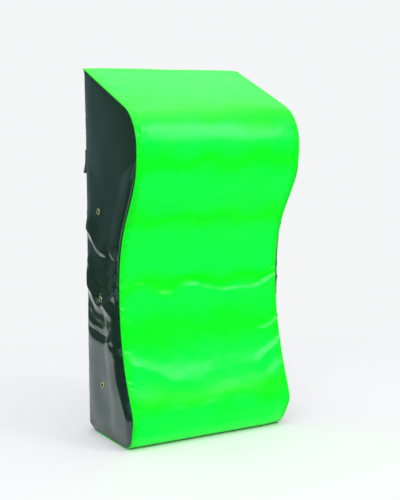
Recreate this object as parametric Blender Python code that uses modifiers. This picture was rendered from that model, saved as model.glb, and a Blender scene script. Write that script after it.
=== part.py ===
"""Curved rugby hit shield: a laminated foam core in a sewn and zipped vinyl cover, with arm straps.

Frame: +Z up, X across the shield, the impact face towards -Y, and the origin in the middle of the
flat base that the shield stands on. Lengths are in metres. Depths are measured forwards from the
flat back, and stands are measured backwards from it.
"""

import math

import bmesh
import bpy
from mathutils import Matrix, Vector

# Whole shield
HEIGHT = 0.900
SEAM_WIDTH = 0.435
CLEARANCE = 0.0003
OVERRUN = 0.004
MERGE_DISTANCE = 0.00001

# Side outline
TOP_SLOPE_DEG = 22.8
SHOULDER_DEPTH = 0.293
SHOULDER_RADIUS = 0.098
WAIST_DEPTH = 0.185
WAIST_HEIGHT = 0.368
BELLY_DEPTH = 0.248
BELLY_HEIGHT = 0.071
FOOT_DEPTH = 0.195
FOOT_RADIUS = 0.043
HEEL_RADIUS = 0.025
FOOT_HANDLE_SHARES = (0.60, 0.50)
BELLY_HANDLE_SHARES = (0.12, 0.60)
WAIST_HANDLE_SHARES = (0.58, 0.42)

# Cover
COVER_THICKNESS = 0.0016
FACE_CROWN = 0.004
GUSSET_CROWN = 0.006
CROWN_EASE = 0.060
CROWN_SQUARENESS = 4

# Foam core
FOAM_CLEARANCE = 0.0005
REAR_SLAB_THICKNESS = 0.040
FACE_LAYER_THICKNESS = 0.050
GLUE_LINE = 0.0008

# Vent eyelets
VENT_DEPTH = 0.088
VENT_LOW_HEIGHT = 0.133
VENT_SPACING = 0.2113
VENT_NAMES = ("low", "middle", "top")
EYELET_BORE_RADIUS = 0.0046
EYELET_WALL = 0.0007
EYELET_FLANGE_RADIUS = 0.0082
EYELET_DOME = 0.0016
EYELET_FLARE = 0.0012
WASHER_THICKNESS = 0.0006

# Zip
ZIP_LOW_HEIGHT = 0.105
ZIP_TOP_DROP = 0.108
ZIP_PITCH = 0.0050
ZIP_TOOTH_REACH = 0.0014
ZIP_TOOTH_TAPER_SHARE = 0.10
ZIP_TOOTH_HEIGHT = 0.0022
ZIP_SPINE_NEAR = 0.0022
ZIP_SPINE_WIDTH = 0.0020
ZIP_CORD_INSET = 0.0003
ZIP_CORD_DROP = 0.0002
ZIP_TIP_DROP = 0.0003
ZIP_TAPE_WIDTH = 0.018
ZIP_TAPE_THICKNESS = 0.0008
ZIP_TAPE_TAIL = 0.018
ZIP_STOP_LENGTH = 0.004
ZIP_SLOT_MARGIN = 0.0015

# Zip slider and puller
SLIDER_LENGTH = 0.022
SLIDER_PLATE = 0.0016
SLIDER_FLANGE = 0.0018
BRIDGE_WIDTH = 0.0024
BRIDGE_WALL = 0.0014
BRIDGE_CHAMFER_SHARE = 0.7
BRIDGE_SPAN = 0.0058
BRIDGE_ROOM = 0.0034
PULLER_LENGTH = 0.036
PULLER_WIDTH = 0.0095
PULLER_TAIL_WIDTH = 0.0075
PULLER_THICKNESS = 0.0016
PULLER_WINDOW_LENGTH = 0.0085
PULLER_WINDOW_WIDTH = 0.0048

# Arm straps
STRAP_THICKNESS = 0.0022
STRAP_ROOT_INSET = 0.003
STRAP_END_REACH = 0.045
STRAP_BOW = 0.004
UPPER_STRAP_DROP = 0.227
UPPER_STRAP_WIDTH = 0.058
LOWER_STRAP_DROP = 0.372
LOWER_STRAP_WIDTH = 0.050

# An edge's stand off the back, its outward flare at the seam, how soon it lifts and how far it eases in
UPPER_STRAP_LOW_EDGE = (0.034, 0.006, 0.72, 0.030)
UPPER_STRAP_HIGH_EDGE = (0.014, -0.010, 0.30, 0.016)
LOWER_STRAP_LOW_EDGE = (0.022, -0.004, 0.35, 0.020)
LOWER_STRAP_HIGH_EDGE = (0.015, -0.010, 0.30, 0.016)

# Facets along curves
FOOT_STEPS = 6
BELLY_STEPS = 4
WAIST_STEPS = 10
CHEST_STEPS = 12
SHOULDER_STEPS = 8
SLOPE_STEPS = 4
BASE_STEPS = 2
HEEL_STEPS = 5
PANEL_COLUMNS = 8
RING_STEPS = 20
STRAP_END_STEPS = 9
STRAP_SPAN_STEPS = 12
STRAP_ROWS = 3
ROUND_STEPS = 6

# Derived
TOP_SLOPE = math.radians(TOP_SLOPE_DEG)
BACK_Y = (FOOT_DEPTH + HEEL_RADIUS) / 2
HALF_WIDTH = SEAM_WIDTH / 2
SEAM_INSET = COVER_THICKNESS + CLEARANCE
FOAM_INSET = COVER_THICKNESS + FOAM_CLEARANCE
FOAM_BACK_DEPTH = COVER_THICKNESS + CLEARANCE + ZIP_TAPE_THICKNESS + CLEARANCE
BLOCK_DEPTH = FOAM_BACK_DEPTH + REAR_SLAB_THICKNESS + GLUE_LINE
ZIP_TOOTH_COUNT = int((HEIGHT - ZIP_TOP_DROP - ZIP_LOW_HEIGHT) / ZIP_PITCH)
ZIP_CHAIN_LENGTH = ZIP_TOOTH_COUNT * ZIP_PITCH
ZIP_TOP_HEIGHT = ZIP_LOW_HEIGHT + ZIP_CHAIN_LENGTH
TEETH_LOW = -COVER_THICKNESS
TEETH_TOP = TEETH_LOW + ZIP_TOOTH_HEIGHT
SPINE_FAR = ZIP_SPINE_NEAR + ZIP_SPINE_WIDTH
SLIDER_FLOOR = TEETH_TOP + CLEARANCE
SLIDER_TOP = SLIDER_FLOOR + SLIDER_PLATE
SLIDER_HALF_WIDTH = SPINE_FAR + CLEARANCE + SLIDER_FLANGE
SLIDER_HEIGHT = ZIP_TOP_HEIGHT - SLIDER_LENGTH / 2
PIN_STAND = SLIDER_TOP + BRIDGE_ROOM / 2
VENT_HOLE_RADIUS = EYELET_BORE_RADIUS + EYELET_WALL + CLEARANCE
UPPER_STRAP_HEIGHT = HEIGHT - UPPER_STRAP_DROP
LOWER_STRAP_HEIGHT = HEIGHT - LOWER_STRAP_DROP

# Materials: colour, roughness, metallic
FACE_VINYL = ((0.0, 0.95, 0.05), 0.30, 0.0)
SIDE_VINYL = ((0.018, 0.024, 0.025), 0.22, 0.0)
FOAM_GREY = ((0.42, 0.44, 0.46), 0.95, 0.0)
FOAM_DARK = ((0.16, 0.17, 0.19), 0.95, 0.0)
WEBBING = ((0.015, 0.017, 0.018), 0.75, 0.0)
TAPE_CLOTH = ((0.02, 0.02, 0.022), 0.85, 0.0)
ZIP_PLASTIC = ((0.012, 0.012, 0.013), 0.40, 0.0)
BRASS = ((0.62, 0.47, 0.18), 0.28, 1.0)
STEEL = ((0.48, 0.48, 0.50), 0.30, 1.0)


def clear_scene():
    for old in list(bpy.data.objects):
        bpy.data.objects.remove(old, do_unlink=True)


def new_collection(name):
    collection = bpy.data.collections.new(name)
    bpy.context.scene.collection.children.link(collection)
    return collection


def material(name, finish):
    made = bpy.data.materials.get(name)
    if made is None:
        colour, roughness, metallic = finish
        made = bpy.data.materials.new(name)
        made.use_nodes = True
        shader = made.node_tree.nodes["Principled BSDF"]
        shader.inputs["Base Color"].default_value = (*colour, 1.0)
        shader.inputs["Roughness"].default_value = roughness
        shader.inputs["Metallic"].default_value = metallic
        made.diffuse_color = (*colour, 1.0)
    return made


def add_object(name, data, finish, collection):
    piece = bpy.data.objects.new(name, data)
    collection.objects.link(piece)
    if not data.materials:
        data.materials.append(material(name + "_finish", finish))
    return piece


def at(x, depth, height):
    """A point of the shield, from its depth in front of the flat back."""
    return Vector((x, BACK_Y - depth, height))


def sheet(name, place, columns, rows, thickness, side, finish, collection):
    """A grid laid out by place(u, v), thickened inwards (side -1), outwards (1) or both ways (0)."""
    mesh = bpy.data.meshes.new(name)
    grid = bmesh.new()
    bmesh.ops.create_grid(grid, x_segments=columns, y_segments=rows, size=1.0)
    for vertex in grid.verts:
        vertex.co = place((vertex.co.x + 1) / 2, (vertex.co.y + 1) / 2)
    bmesh.ops.remove_doubles(grid, verts=grid.verts, dist=MERGE_DISTANCE)
    grid.to_mesh(mesh)
    grid.free()
    mesh.shade_smooth()
    piece = add_object(name, mesh, finish, collection)
    solid = piece.modifiers.new("Solidify", "SOLIDIFY")
    solid.thickness = thickness
    solid.offset = side
    return piece


def block(name, low, high, finish, collection):
    """A box between two corners."""
    mesh = bpy.data.meshes.new(name)
    solid = bmesh.new()
    low, high = Vector(low), Vector(high)
    size = high - low
    bmesh.ops.create_cube(solid, size=1.0)
    bmesh.ops.scale(solid, vec=size, verts=solid.verts)
    bmesh.ops.translate(solid, vec=(low + high) / 2, verts=solid.verts)
    solid.to_mesh(mesh)
    solid.free()
    return add_object(name, mesh, finish, collection)


def flat_piece(name, outlines, thickness, facing, finish, collection):
    """A flat outline, with any windows in it, extruded about its own plane."""
    curve = bpy.data.curves.new(name, "CURVE")
    curve.dimensions = "2D"
    curve.fill_mode = "BOTH"
    curve.extrude = thickness / 2
    for outline in outlines:
        spline = curve.splines.new("POLY")
        spline.points.add(len(outline) - 1)
        for point, (across, along) in zip(spline.points, outline):
            point.co = (across, along, 0.0, 1.0)
        spline.use_cyclic_u = True
    piece = add_object(name, curve, finish, collection)
    piece.matrix_world = facing
    return piece


def as_mesh(piece, finish, collection):
    """The same piece with its curve turned into a welded mesh."""
    bpy.context.view_layer.update()
    shown = piece.evaluated_get(bpy.context.evaluated_depsgraph_get())
    mesh = bpy.data.meshes.new_from_object(shown)
    welded = bmesh.new()
    welded.from_mesh(mesh)
    bmesh.ops.remove_doubles(welded, verts=welded.verts, dist=MERGE_DISTANCE)
    welded.to_mesh(mesh)
    welded.free()
    name, place, curve = piece.name, piece.matrix_world.copy(), piece.data
    bpy.data.objects.remove(piece, do_unlink=True)
    bpy.data.curves.remove(curve)
    made = add_object(name, mesh, finish, collection)
    made.matrix_world = place
    return made


def combine(piece, other, operation):
    change = piece.modifiers.new(operation.title(), "BOOLEAN")
    change.operation = operation
    change.solver = "EXACT"
    change.object = other


def hide_cutter(cutter):
    cutter.hide_render = True
    cutter.display_type = "WIRE"


def arc(centre, radius, start, end, steps):
    """Points along an arc, both ends included; radius may be a pair for an ellipse."""
    wide, tall = radius if isinstance(radius, tuple) else (radius, radius)
    points = []
    for step in range(steps + 1):
        angle = start + (end - start) * step / steps
        points.append((centre[0] + wide * math.cos(angle), centre[1] + tall * math.sin(angle)))
    return points


def cubic(a, b, c, d, t):
    s = 1 - t
    return s * s * s * a + 3 * s * s * t * b + 3 * s * t * t * c + t * t * t * d


def cubic_slope(a, b, c, d, t):
    s = 1 - t
    return 3 * s * s * (b - a) + 6 * s * t * (c - b) + 3 * t * t * (d - c)


def swell(start, end, handle_shares, steps, inset):
    """Outline points between two depths where the wall stands upright, without the last one."""
    rise = end[1] - start[1]
    depths = (start[0], start[0], end[0], end[0])
    heights = (start[1], start[1] + handle_shares[0] * rise, end[1] - handle_shares[1] * rise, end[1])
    points = []
    for step in range(steps):
        t = step / steps
        out = Vector((cubic_slope(*heights, t), -cubic_slope(*depths, t))).normalized()
        points.append((cubic(*depths, t) - inset * out.x, cubic(*heights, t) - inset * out.y, out))
    return points


def slope_height(depth, inset):
    """Height of the sloping top at a depth, as far inside the cover as the inset."""
    return HEIGHT - depth * math.tan(TOP_SLOPE) - inset / math.cos(TOP_SLOPE)


def wall_outline(inset):
    """The front wall from the base to the end of the shoulder: depth, height and outward direction."""
    corner_height = HEIGHT - SHOULDER_DEPTH * math.tan(TOP_SLOPE)
    shoulder_turn = math.pi / 2 - TOP_SLOPE
    shoulder_height = corner_height - SHOULDER_RADIUS * math.tan(shoulder_turn / 2)
    foot = (FOOT_DEPTH + FOOT_RADIUS, FOOT_RADIUS)
    belly = (BELLY_DEPTH, BELLY_HEIGHT)
    waist = (WAIST_DEPTH, WAIST_HEIGHT)
    shoulder = (SHOULDER_DEPTH, shoulder_height)
    points = []
    for step in range(FOOT_STEPS):
        turn = -math.pi / 2 + math.pi / 2 * step / FOOT_STEPS
        out = Vector((math.cos(turn), math.sin(turn)))
        reach = FOOT_RADIUS - inset
        points.append((FOOT_DEPTH + reach * out.x, FOOT_RADIUS + reach * out.y, out))
    points += swell(foot, belly, FOOT_HANDLE_SHARES, BELLY_STEPS, inset)
    points += swell(belly, waist, BELLY_HANDLE_SHARES, WAIST_STEPS, inset)
    points += swell(waist, shoulder, WAIST_HANDLE_SHARES, CHEST_STEPS, inset)
    for step in range(SHOULDER_STEPS + 1):
        turn = shoulder_turn * step / SHOULDER_STEPS
        out = Vector((math.cos(turn), math.sin(turn)))
        reach = SHOULDER_RADIUS - inset
        points.append((SHOULDER_DEPTH - SHOULDER_RADIUS + reach * out.x, shoulder_height + reach * out.y, out))
    return points


def slope_points(start_depth, end_depth, inset, steps):
    """Points up the sloping top, after the shoulder."""
    out = Vector((math.sin(TOP_SLOPE), math.cos(TOP_SLOPE)))
    points = []
    for step in range(1, steps + 1):
        depth = start_depth + (end_depth - start_depth) * step / steps
        points.append((depth, slope_height(depth, inset), out))
    return points


def crown_share(share):
    """How full a panel is across its width: none at its seams, all in its middle."""
    return 1 - abs(2 * share - 1) ** CROWN_SQUARENESS


def ease(distance):
    """How full a panel is at a distance from the seam at its end."""
    share = min(max(distance / CROWN_EASE, 0.0), 1.0)
    return share * share * (3 - 2 * share)


def face_outline():
    """The impact panel's run: under the base, up the front, over the shoulder and up the top."""
    down = Vector((0.0, -1.0))
    points = []
    for step in range(BASE_STEPS):
        depth = HEEL_RADIUS + CLEARANCE + (FOOT_DEPTH - HEEL_RADIUS - CLEARANCE) * step / BASE_STEPS
        points.append((depth, 0.0, down))
    wall = wall_outline(0.0)
    return points + wall + slope_points(wall[-1][0], 0.0, 0.0, SLOPE_STEPS)


def make_front_panel(collection):
    run = face_outline()
    last = len(run) - 1

    def place(u, v):
        depth, height, out = run[round(v * last)]
        full = FACE_CROWN * crown_share(u) * ease(height) * ease(HEIGHT - height)
        return at((2 * u - 1) * HALF_WIDTH, depth + full * out.x, height + full * out.y)

    return sheet("front_panel", place, PANEL_COLUMNS, last, COVER_THICKNESS, -1, FACE_VINYL, collection)


def heel_depth(height, inset):
    """Depth of the back's inside at a height: flat, and rounded to the base at the heel."""
    if height >= HEEL_RADIUS:
        return inset
    drop = HEEL_RADIUS - height
    reach = HEEL_RADIUS - inset
    return HEEL_RADIUS - math.sqrt(max(reach * reach - drop * drop, 0.0))


def gusset_bulge(share, height, front_depth):
    room = min(front_depth / WAIST_DEPTH, 1.0)
    return GUSSET_CROWN * crown_share(share) * ease(height) * room


def gusset_x(depth, height):
    """How far out a gusset's face stands at a depth and height."""
    wall = wall_outline(SEAM_INSET)
    front = min(wall, key=lambda point: abs(point[1] - height))[0]
    back = heel_depth(height, SEAM_INSET)
    return HALF_WIDTH + gusset_bulge((depth - back) / (front - back), height, front)


def make_gusset(name, side, collection):
    wall = wall_outline(SEAM_INSET)
    run = wall + slope_points(wall[-1][0], SEAM_INSET, SEAM_INSET, SLOPE_STEPS)
    last = len(run) - 1

    def place(u, v):
        front, height, _ = run[round(v * last)]
        back = heel_depth(height, SEAM_INSET)
        share = u if side < 0 else 1 - u
        depth = back + (front - back) * share
        return at(side * (HALF_WIDTH + gusset_bulge(share, height, front)), depth, height)

    return sheet(name, place, PANEL_COLUMNS, last, COVER_THICKNESS, -1, SIDE_VINYL, collection)


def make_back_panel(name, side, collection):
    heel = arc((HEEL_RADIUS, HEEL_RADIUS), HEEL_RADIUS, -math.pi / 2, -math.pi, HEEL_STEPS)
    run = heel + [(0.0, slope_height(COVER_THICKNESS, SEAM_INSET))]
    last = len(run) - 1
    inner = CLEARANCE / 2

    def place(u, v):
        depth, height = run[round(v * last)]
        share = u if side < 0 else 1 - u
        return at(side * (inner + (HALF_WIDTH - inner) * share), depth, height)

    return sheet(name, place, 1, last, COVER_THICKNESS, -1, SIDE_VINYL, collection)


def zip_slot(cutters):
    """The window between the back panels that the zip shows through."""
    half = SLIDER_HALF_WIDTH + ZIP_SLOT_MARGIN
    tail = ZIP_STOP_LENGTH + OVERRUN
    low = at(-half, COVER_THICKNESS + CLEARANCE / 2, ZIP_LOW_HEIGHT - tail)
    high = at(half, -OVERRUN, ZIP_TOP_HEIGHT + tail)
    slot = block("zip_slot_cutter", low, high, TAPE_CLOTH, cutters)
    hide_cutter(slot)
    return slot


def foam_piece(name, outline, finish, collection):
    """Foam cut square across, from its side outline in depth and height."""
    width = SEAM_WIDTH - 2 * FOAM_INSET
    side_on = Matrix(((0, 0, -1, 0), (-1, 0, 0, BACK_Y), (0, 1, 0, 0), (0, 0, 0, 1)))
    flat_piece(name, [outline], width, side_on, finish, collection)


def make_foam(collection):
    wall = wall_outline(FOAM_INSET)
    slab_front = FOAM_BACK_DEPTH + REAR_SLAB_THICKNESS
    heel_radii = (HEEL_RADIUS - FOAM_BACK_DEPTH, HEEL_RADIUS - FOAM_INSET)
    heel = arc((HEEL_RADIUS, HEEL_RADIUS), heel_radii, -math.pi / 2, -math.pi, HEEL_STEPS)
    slab = [(slab_front, FOAM_INSET)] + heel
    slab += [(depth, slope_height(depth, FOAM_INSET)) for depth in (FOAM_BACK_DEPTH, slab_front)]
    foam_piece("foam_rear_slab", slab, FOAM_DARK, collection)

    face = [point[:2] for point in wall] + [(BLOCK_DEPTH, slope_height(BLOCK_DEPTH, FOAM_INSET))]
    template = [(depth - FACE_LAYER_THICKNESS, height) for depth, height, _ in wall]
    template.append((BLOCK_DEPTH, slope_height(BLOCK_DEPTH + FACE_LAYER_THICKNESS, FOAM_INSET)))
    foam_piece("foam_face_layer", face + template[::-1], FOAM_GREY, collection)

    glued = FACE_LAYER_THICKNESS + GLUE_LINE
    middle = [(BLOCK_DEPTH, FOAM_INSET)]
    middle += [(depth - glued, height) for depth, height, _ in wall]
    middle.append((BLOCK_DEPTH, slope_height(BLOCK_DEPTH + glued, FOAM_INSET)))
    foam_piece("foam_middle_block", middle, FOAM_GREY, collection)


def turned_ring(name, profile, place, finish, collection):
    """A ring turned about its own Z axis, from a closed profile of radius and height."""
    mesh = bpy.data.meshes.new(name)
    loop = bmesh.new()
    corners = [loop.verts.new((radius, 0.0, height)) for radius, height in profile]
    for start, end in zip(corners, corners[1:] + corners[:1]):
        loop.edges.new((start, end))
    loop.to_mesh(mesh)
    loop.free()
    piece = add_object(name, mesh, finish, collection)
    piece.matrix_world = place
    turn = piece.modifiers.new("Screw", "SCREW")
    turn.axis = "Z"
    turn.steps = turn.render_steps = RING_STEPS
    turn.use_merge_vertices = True
    turn.merge_threshold = MERGE_DISTANCE


def eyelet_profile():
    """Down the outer side of the flange and barrel, then up the bore; height 0 is the gusset's face."""
    barrel = EYELET_BORE_RADIUS + EYELET_WALL
    washer_low = -COVER_THICKNESS - CLEARANCE - WASHER_THICKNESS
    flare_top = washer_low - CLEARANCE
    flare_radius = barrel + EYELET_FLARE
    flare_low = flare_top - EYELET_WALL
    rim = CLEARANCE + EYELET_WALL
    shoulder = (barrel + EYELET_FLANGE_RADIUS) / 2
    return [
        (shoulder, CLEARANCE + EYELET_DOME),
        (EYELET_FLANGE_RADIUS, rim),
        (EYELET_FLANGE_RADIUS, CLEARANCE),
        (barrel, CLEARANCE),
        (barrel, flare_top),
        (flare_radius, flare_top),
        (flare_radius, flare_low),
        (EYELET_BORE_RADIUS, flare_low),
        (EYELET_BORE_RADIUS, rim),
        (barrel, CLEARANCE + EYELET_DOME),
    ]


def washer_profile():
    top = -COVER_THICKNESS - CLEARANCE
    low = top - WASHER_THICKNESS
    outer, inner = EYELET_FLANGE_RADIUS, VENT_HOLE_RADIUS
    return [(outer, top), (outer, low), (inner, low), (inner, top)]


def drill(name, radius, depth, place, cutters):
    """A round cutter about a place's own Z axis."""
    mesh = bpy.data.meshes.new(name)
    round_bar = bmesh.new()
    bmesh.ops.create_cone(
        round_bar, cap_ends=True, segments=RING_STEPS, radius1=radius, radius2=radius, depth=depth
    )
    round_bar.to_mesh(mesh)
    round_bar.free()
    cutter = add_object(name, mesh, BRASS, cutters)
    cutter.matrix_world = place
    hide_cutter(cutter)
    return cutter


def make_vents(side_name, side, gusset, collection, cutters):
    outwards = Matrix.Rotation(side * math.pi / 2, 4, "Y")
    hole_depth = 2 * (COVER_THICKNESS + OVERRUN)
    for number, vent_name in enumerate(VENT_NAMES):
        height = VENT_LOW_HEIGHT + number * VENT_SPACING
        face = at(side * gusset_x(VENT_DEPTH, height), VENT_DEPTH, height)
        place = Matrix.Translation(face) @ outwards
        label = side_name + "_" + vent_name
        turned_ring("vent_eyelet_" + label, eyelet_profile(), place, BRASS, collection)
        turned_ring("vent_washer_" + label, washer_profile(), place, BRASS, collection)
        hole = drill("vent_hole_" + label, VENT_HOLE_RADIUS, hole_depth, place, cutters)
        combine(gusset, hole, "DIFFERENCE")


def upright_on_back(stand, height):
    """A frame on the back: across is -X, along is +Z, and outwards is +Y."""
    return Matrix(((-1, 0, 0, 0), (0, 0, 1, BACK_Y + stand), (0, 1, 0, height), (0, 0, 0, 1)))


def tooth_half_widths():
    middle = ZIP_PITCH / 4 - CLEARANCE / 2
    return middle * (1 + ZIP_TOOTH_TAPER_SHARE), middle * (1 - ZIP_TOOTH_TAPER_SHARE)


def make_teeth(name, facing, collection):
    """One row of zip teeth along its spine, as a comb about the chain's middle.

    Turned end for end, the same comb is the other row, and its teeth come between these. A tooth
    thins to its tip, and its foot stands proud of the cord. Every edge is a pair of corners, on the
    comb's under side and its upper side.
    """
    root, tip = tooth_half_widths()
    half_chain = ZIP_CHAIN_LENGTH / 2
    comb = bmesh.new()

    def edge(across, along, drop=0.0):
        level = ZIP_TOOTH_HEIGHT / 2 - drop
        return [comb.verts.new((across, along, side * level)) for side in (-1, 1)]

    def wall(*edges):
        for (low, high), (next_low, next_high) in zip(edges, edges[1:]):
            comb.faces.new((low, next_low, next_high, high))

    def plates(*edges):
        for corners in zip(*edges):
            comb.faces.new(corners)

    start = ZIP_PITCH / 4 - root - half_chain
    far, near = edge(SPINE_FAR, start), edge(ZIP_SPINE_NEAR, start)
    wall(far, near)
    for number in range(ZIP_TOOTH_COUNT):
        middle = (number + 1 / 4) * ZIP_PITCH - half_chain
        last = number == ZIP_TOOTH_COUNT - 1
        ahead = half_chain if last else middle + ZIP_PITCH - root
        tip_low = edge(-ZIP_TOOTH_REACH, middle - tip, ZIP_TIP_DROP)
        tip_high = edge(-ZIP_TOOTH_REACH, middle + tip, ZIP_TIP_DROP)
        gap = edge(ZIP_SPINE_NEAR, middle + root)
        cord = edge(SPINE_FAR - ZIP_CORD_INSET, middle + root, ZIP_CORD_DROP)
        next_far, next_near = edge(SPINE_FAR, ahead), edge(ZIP_SPINE_NEAR, ahead)
        wall(near, tip_low, tip_high, gap, next_near)
        wall(far, cord, next_far)
        plates(near, tip_low, tip_high, gap)
        plates(far, near, gap)
        plates(far, gap, cord)
        plates(cord, gap, next_near)
        plates(cord, next_near, next_far)
        far, near = next_far, next_near
    wall(far, near)
    bmesh.ops.recalc_face_normals(comb, faces=comb.faces)
    mesh = bpy.data.meshes.new(name)
    comb.to_mesh(mesh)
    comb.free()
    add_object(name, mesh, ZIP_PLASTIC, collection).matrix_world = facing


def make_zip(collection):
    tape_outer = COVER_THICKNESS + CLEARANCE
    tape_inner = tape_outer + ZIP_TAPE_THICKNESS
    tape_low = ZIP_LOW_HEIGHT - ZIP_TAPE_TAIL
    tape_high = ZIP_TOP_HEIGHT + ZIP_TAPE_TAIL
    middle_stand = (TEETH_LOW + TEETH_TOP) / 2
    for side_name, side in (("left", -1), ("right", 1)):
        near, far = sorted((side * CLEARANCE / 2, side * ZIP_TAPE_WIDTH))
        low = at(near, tape_inner, tape_low)
        high = at(far, tape_outer, tape_high)
        block("zip_tape_" + side_name, low, high, TAPE_CLOTH, collection)
        facing = upright_on_back(middle_stand, ZIP_LOW_HEIGHT + ZIP_CHAIN_LENGTH / 2)
        turn = Matrix.Rotation(math.pi if side > 0 else 0.0, 4, "Z")
        make_teeth("zip_teeth_" + side_name, facing @ turn, collection)

    stop_low = ZIP_TOP_HEIGHT + CLEARANCE
    for side_name, side in (("left", -1), ("right", 1)):
        near, far = sorted((side * CLEARANCE, side * SPINE_FAR))
        low = at(near, COVER_THICKNESS, stop_low)
        high = at(far, -TEETH_TOP, stop_low + ZIP_STOP_LENGTH)
        block("zip_top_stop_" + side_name, low, high, STEEL, collection)

    stop_top = ZIP_LOW_HEIGHT - CLEARANCE
    low = at(-SPINE_FAR, COVER_THICKNESS, stop_top - ZIP_STOP_LENGTH)
    high = at(SPINE_FAR, -TEETH_TOP, stop_top)
    block("zip_bottom_stop", low, high, STEEL, collection)


def make_slider(collection, cutters):
    """A plate whose flanges hold the chain, with a bridge on it for the puller."""
    flange_low = TEETH_LOW + CLEARANCE
    inner = SPINE_FAR + CLEARANCE
    outer = SLIDER_HALF_WIDTH
    chamfer = SLIDER_PLATE / 2
    section = [
        (-outer, flange_low),
        (-inner, flange_low),
        (-inner, SLIDER_FLOOR),
        (inner, SLIDER_FLOOR),
        (inner, flange_low),
        (outer, flange_low),
        (outer, SLIDER_TOP - chamfer),
        (outer - chamfer, SLIDER_TOP),
        (chamfer - outer, SLIDER_TOP),
        (-outer, SLIDER_TOP - chamfer),
    ]
    on_end = Matrix(((1, 0, 0, 0), (0, 1, 0, BACK_Y), (0, 0, 1, SLIDER_HEIGHT), (0, 0, 0, 1)))
    slider = flat_piece("zip_slider", [section], SLIDER_LENGTH, on_end, STEEL, collection)
    slider = as_mesh(slider, STEEL, collection)

    half = BRIDGE_SPAN / 2
    foot = SLIDER_FLOOR + SLIDER_PLATE / 2
    roof = SLIDER_TOP + BRIDGE_ROOM
    chamfer = BRIDGE_CHAMFER_SHARE * BRIDGE_WALL
    top, end = roof + BRIDGE_WALL, half + BRIDGE_WALL
    arch = [
        (foot, -end),
        (top - chamfer, -end),
        (top, chamfer - end),
        (top, end - chamfer),
        (top - chamfer, end),
        (foot, end),
        (foot, half),
        (roof, half),
        (roof, -half),
        (foot, -half),
    ]
    sideways = Matrix(((0, 0, 1, 0), (1, 0, 0, BACK_Y), (0, 1, 0, SLIDER_HEIGHT), (0, 0, 0, 1)))
    bridge = flat_piece("zip_slider_bridge", [arch], BRIDGE_WIDTH, sideways, STEEL, cutters)
    bridge = as_mesh(bridge, STEEL, cutters)
    hide_cutter(bridge)
    combine(slider, bridge, "UNION")


def make_puller(collection):
    """A tab with a window that the slider's bridge passes through; it hangs on the bar above it."""
    bar = PULLER_THICKNESS / 2
    wide = PULLER_WIDTH / 2
    tail = PULLER_TAIL_WIDTH / 2
    window = PULLER_WINDOW_WIDTH / 2
    end = bar - PULLER_LENGTH
    outline = [(-wide, bar), (-wide, -PULLER_WINDOW_LENGTH)]
    outline += arc((0.0, end + tail), tail, math.pi, 2 * math.pi, ROUND_STEPS)
    outline += [(wide, -PULLER_WINDOW_LENGTH), (wide, bar)]
    hole = [
        (-window, -bar),
        (window, -bar),
        (window, -PULLER_WINDOW_LENGTH),
        (-window, -PULLER_WINDOW_LENGTH),
    ]
    facing = upright_on_back(PIN_STAND, SLIDER_HEIGHT)
    flat_piece("zip_puller", [outline, hole], PULLER_THICKNESS, facing, STEEL, collection)


def strap_edge(edge, share):
    """One edge of a strap's sewn end, from the seam (0) to where the loose span starts (1)."""
    stand, flare, lift_share, reach = edge
    root_x = HALF_WIDTH - STRAP_ROOT_INSET
    span_x = HALF_WIDTH - STRAP_END_REACH
    seat = CLEARANCE + STRAP_THICKNESS / 2
    lean = 2 * STRAP_BOW / span_x
    across = cubic(root_x, root_x + flare, span_x + reach, span_x, share)
    lifted = seat + lift_share * (stand - seat)
    return across, cubic(seat, lifted, stand - lean * reach, stand, share)


def behind(x, stand, height):
    """A point of the shield, from its stand behind the flat back."""
    return Vector((x, BACK_Y + stand, height))


def make_strap(name, height, width, low_edge, high_edge, collection):
    """Webbing across the back: two ends sewn into the side seams, and the loose span between them."""
    span_x = HALF_WIDTH - STRAP_END_REACH - CLEARANCE

    def span_place(u, v):
        across = (2 * u - 1) * span_x
        bow = STRAP_BOW * (1 - (2 * u - 1) ** 2)
        stand = low_edge[0] + (high_edge[0] - low_edge[0]) * v + bow
        return behind(across, stand, height + (v - 1 / 2) * width)

    span_name = name + "_arm_strap"
    sheet(span_name, span_place, STRAP_SPAN_STEPS, STRAP_ROWS, STRAP_THICKNESS, 0, WEBBING, collection)
    for side_name, side in (("left", -1), ("right", 1)):

        def end_place(u, v, side=side):
            low_across, low_stand = strap_edge(low_edge, u)
            high_across, high_stand = strap_edge(high_edge, u)
            across = low_across + (high_across - low_across) * v
            stand = low_stand + (high_stand - low_stand) * v
            return behind(side * across, stand, height + (v - 1 / 2) * width)

        end_name = name + "_strap_end_" + side_name
        sheet(end_name, end_place, STRAP_END_STEPS, STRAP_ROWS, STRAP_THICKNESS, 0, WEBBING, collection)


def main():
    clear_scene()
    shield = new_collection("hit_shield")
    cutters = new_collection("cutters")

    make_foam(shield)
    make_front_panel(shield)
    slot = zip_slot(cutters)
    for side_name, side in (("left", -1), ("right", 1)):
        gusset = make_gusset(side_name + "_gusset", side, shield)
        make_vents(side_name, side, gusset, shield, cutters)
        back = make_back_panel("back_panel_" + side_name, side, shield)
        combine(back, slot, "DIFFERENCE")
    make_zip(shield)
    make_slider(shield, cutters)
    make_puller(shield)
    upper = (UPPER_STRAP_LOW_EDGE, UPPER_STRAP_HIGH_EDGE)
    make_strap("upper", UPPER_STRAP_HEIGHT, UPPER_STRAP_WIDTH, *upper, shield)
    lower = (LOWER_STRAP_LOW_EDGE, LOWER_STRAP_HIGH_EDGE)
    make_strap("lower", LOWER_STRAP_HEIGHT, LOWER_STRAP_WIDTH, *lower, shield)
    bpy.context.view_layer.update()


main()
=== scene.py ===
import math

import bmesh
import bpy
import numpy as np
from mathutils import Matrix, Vector


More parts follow.
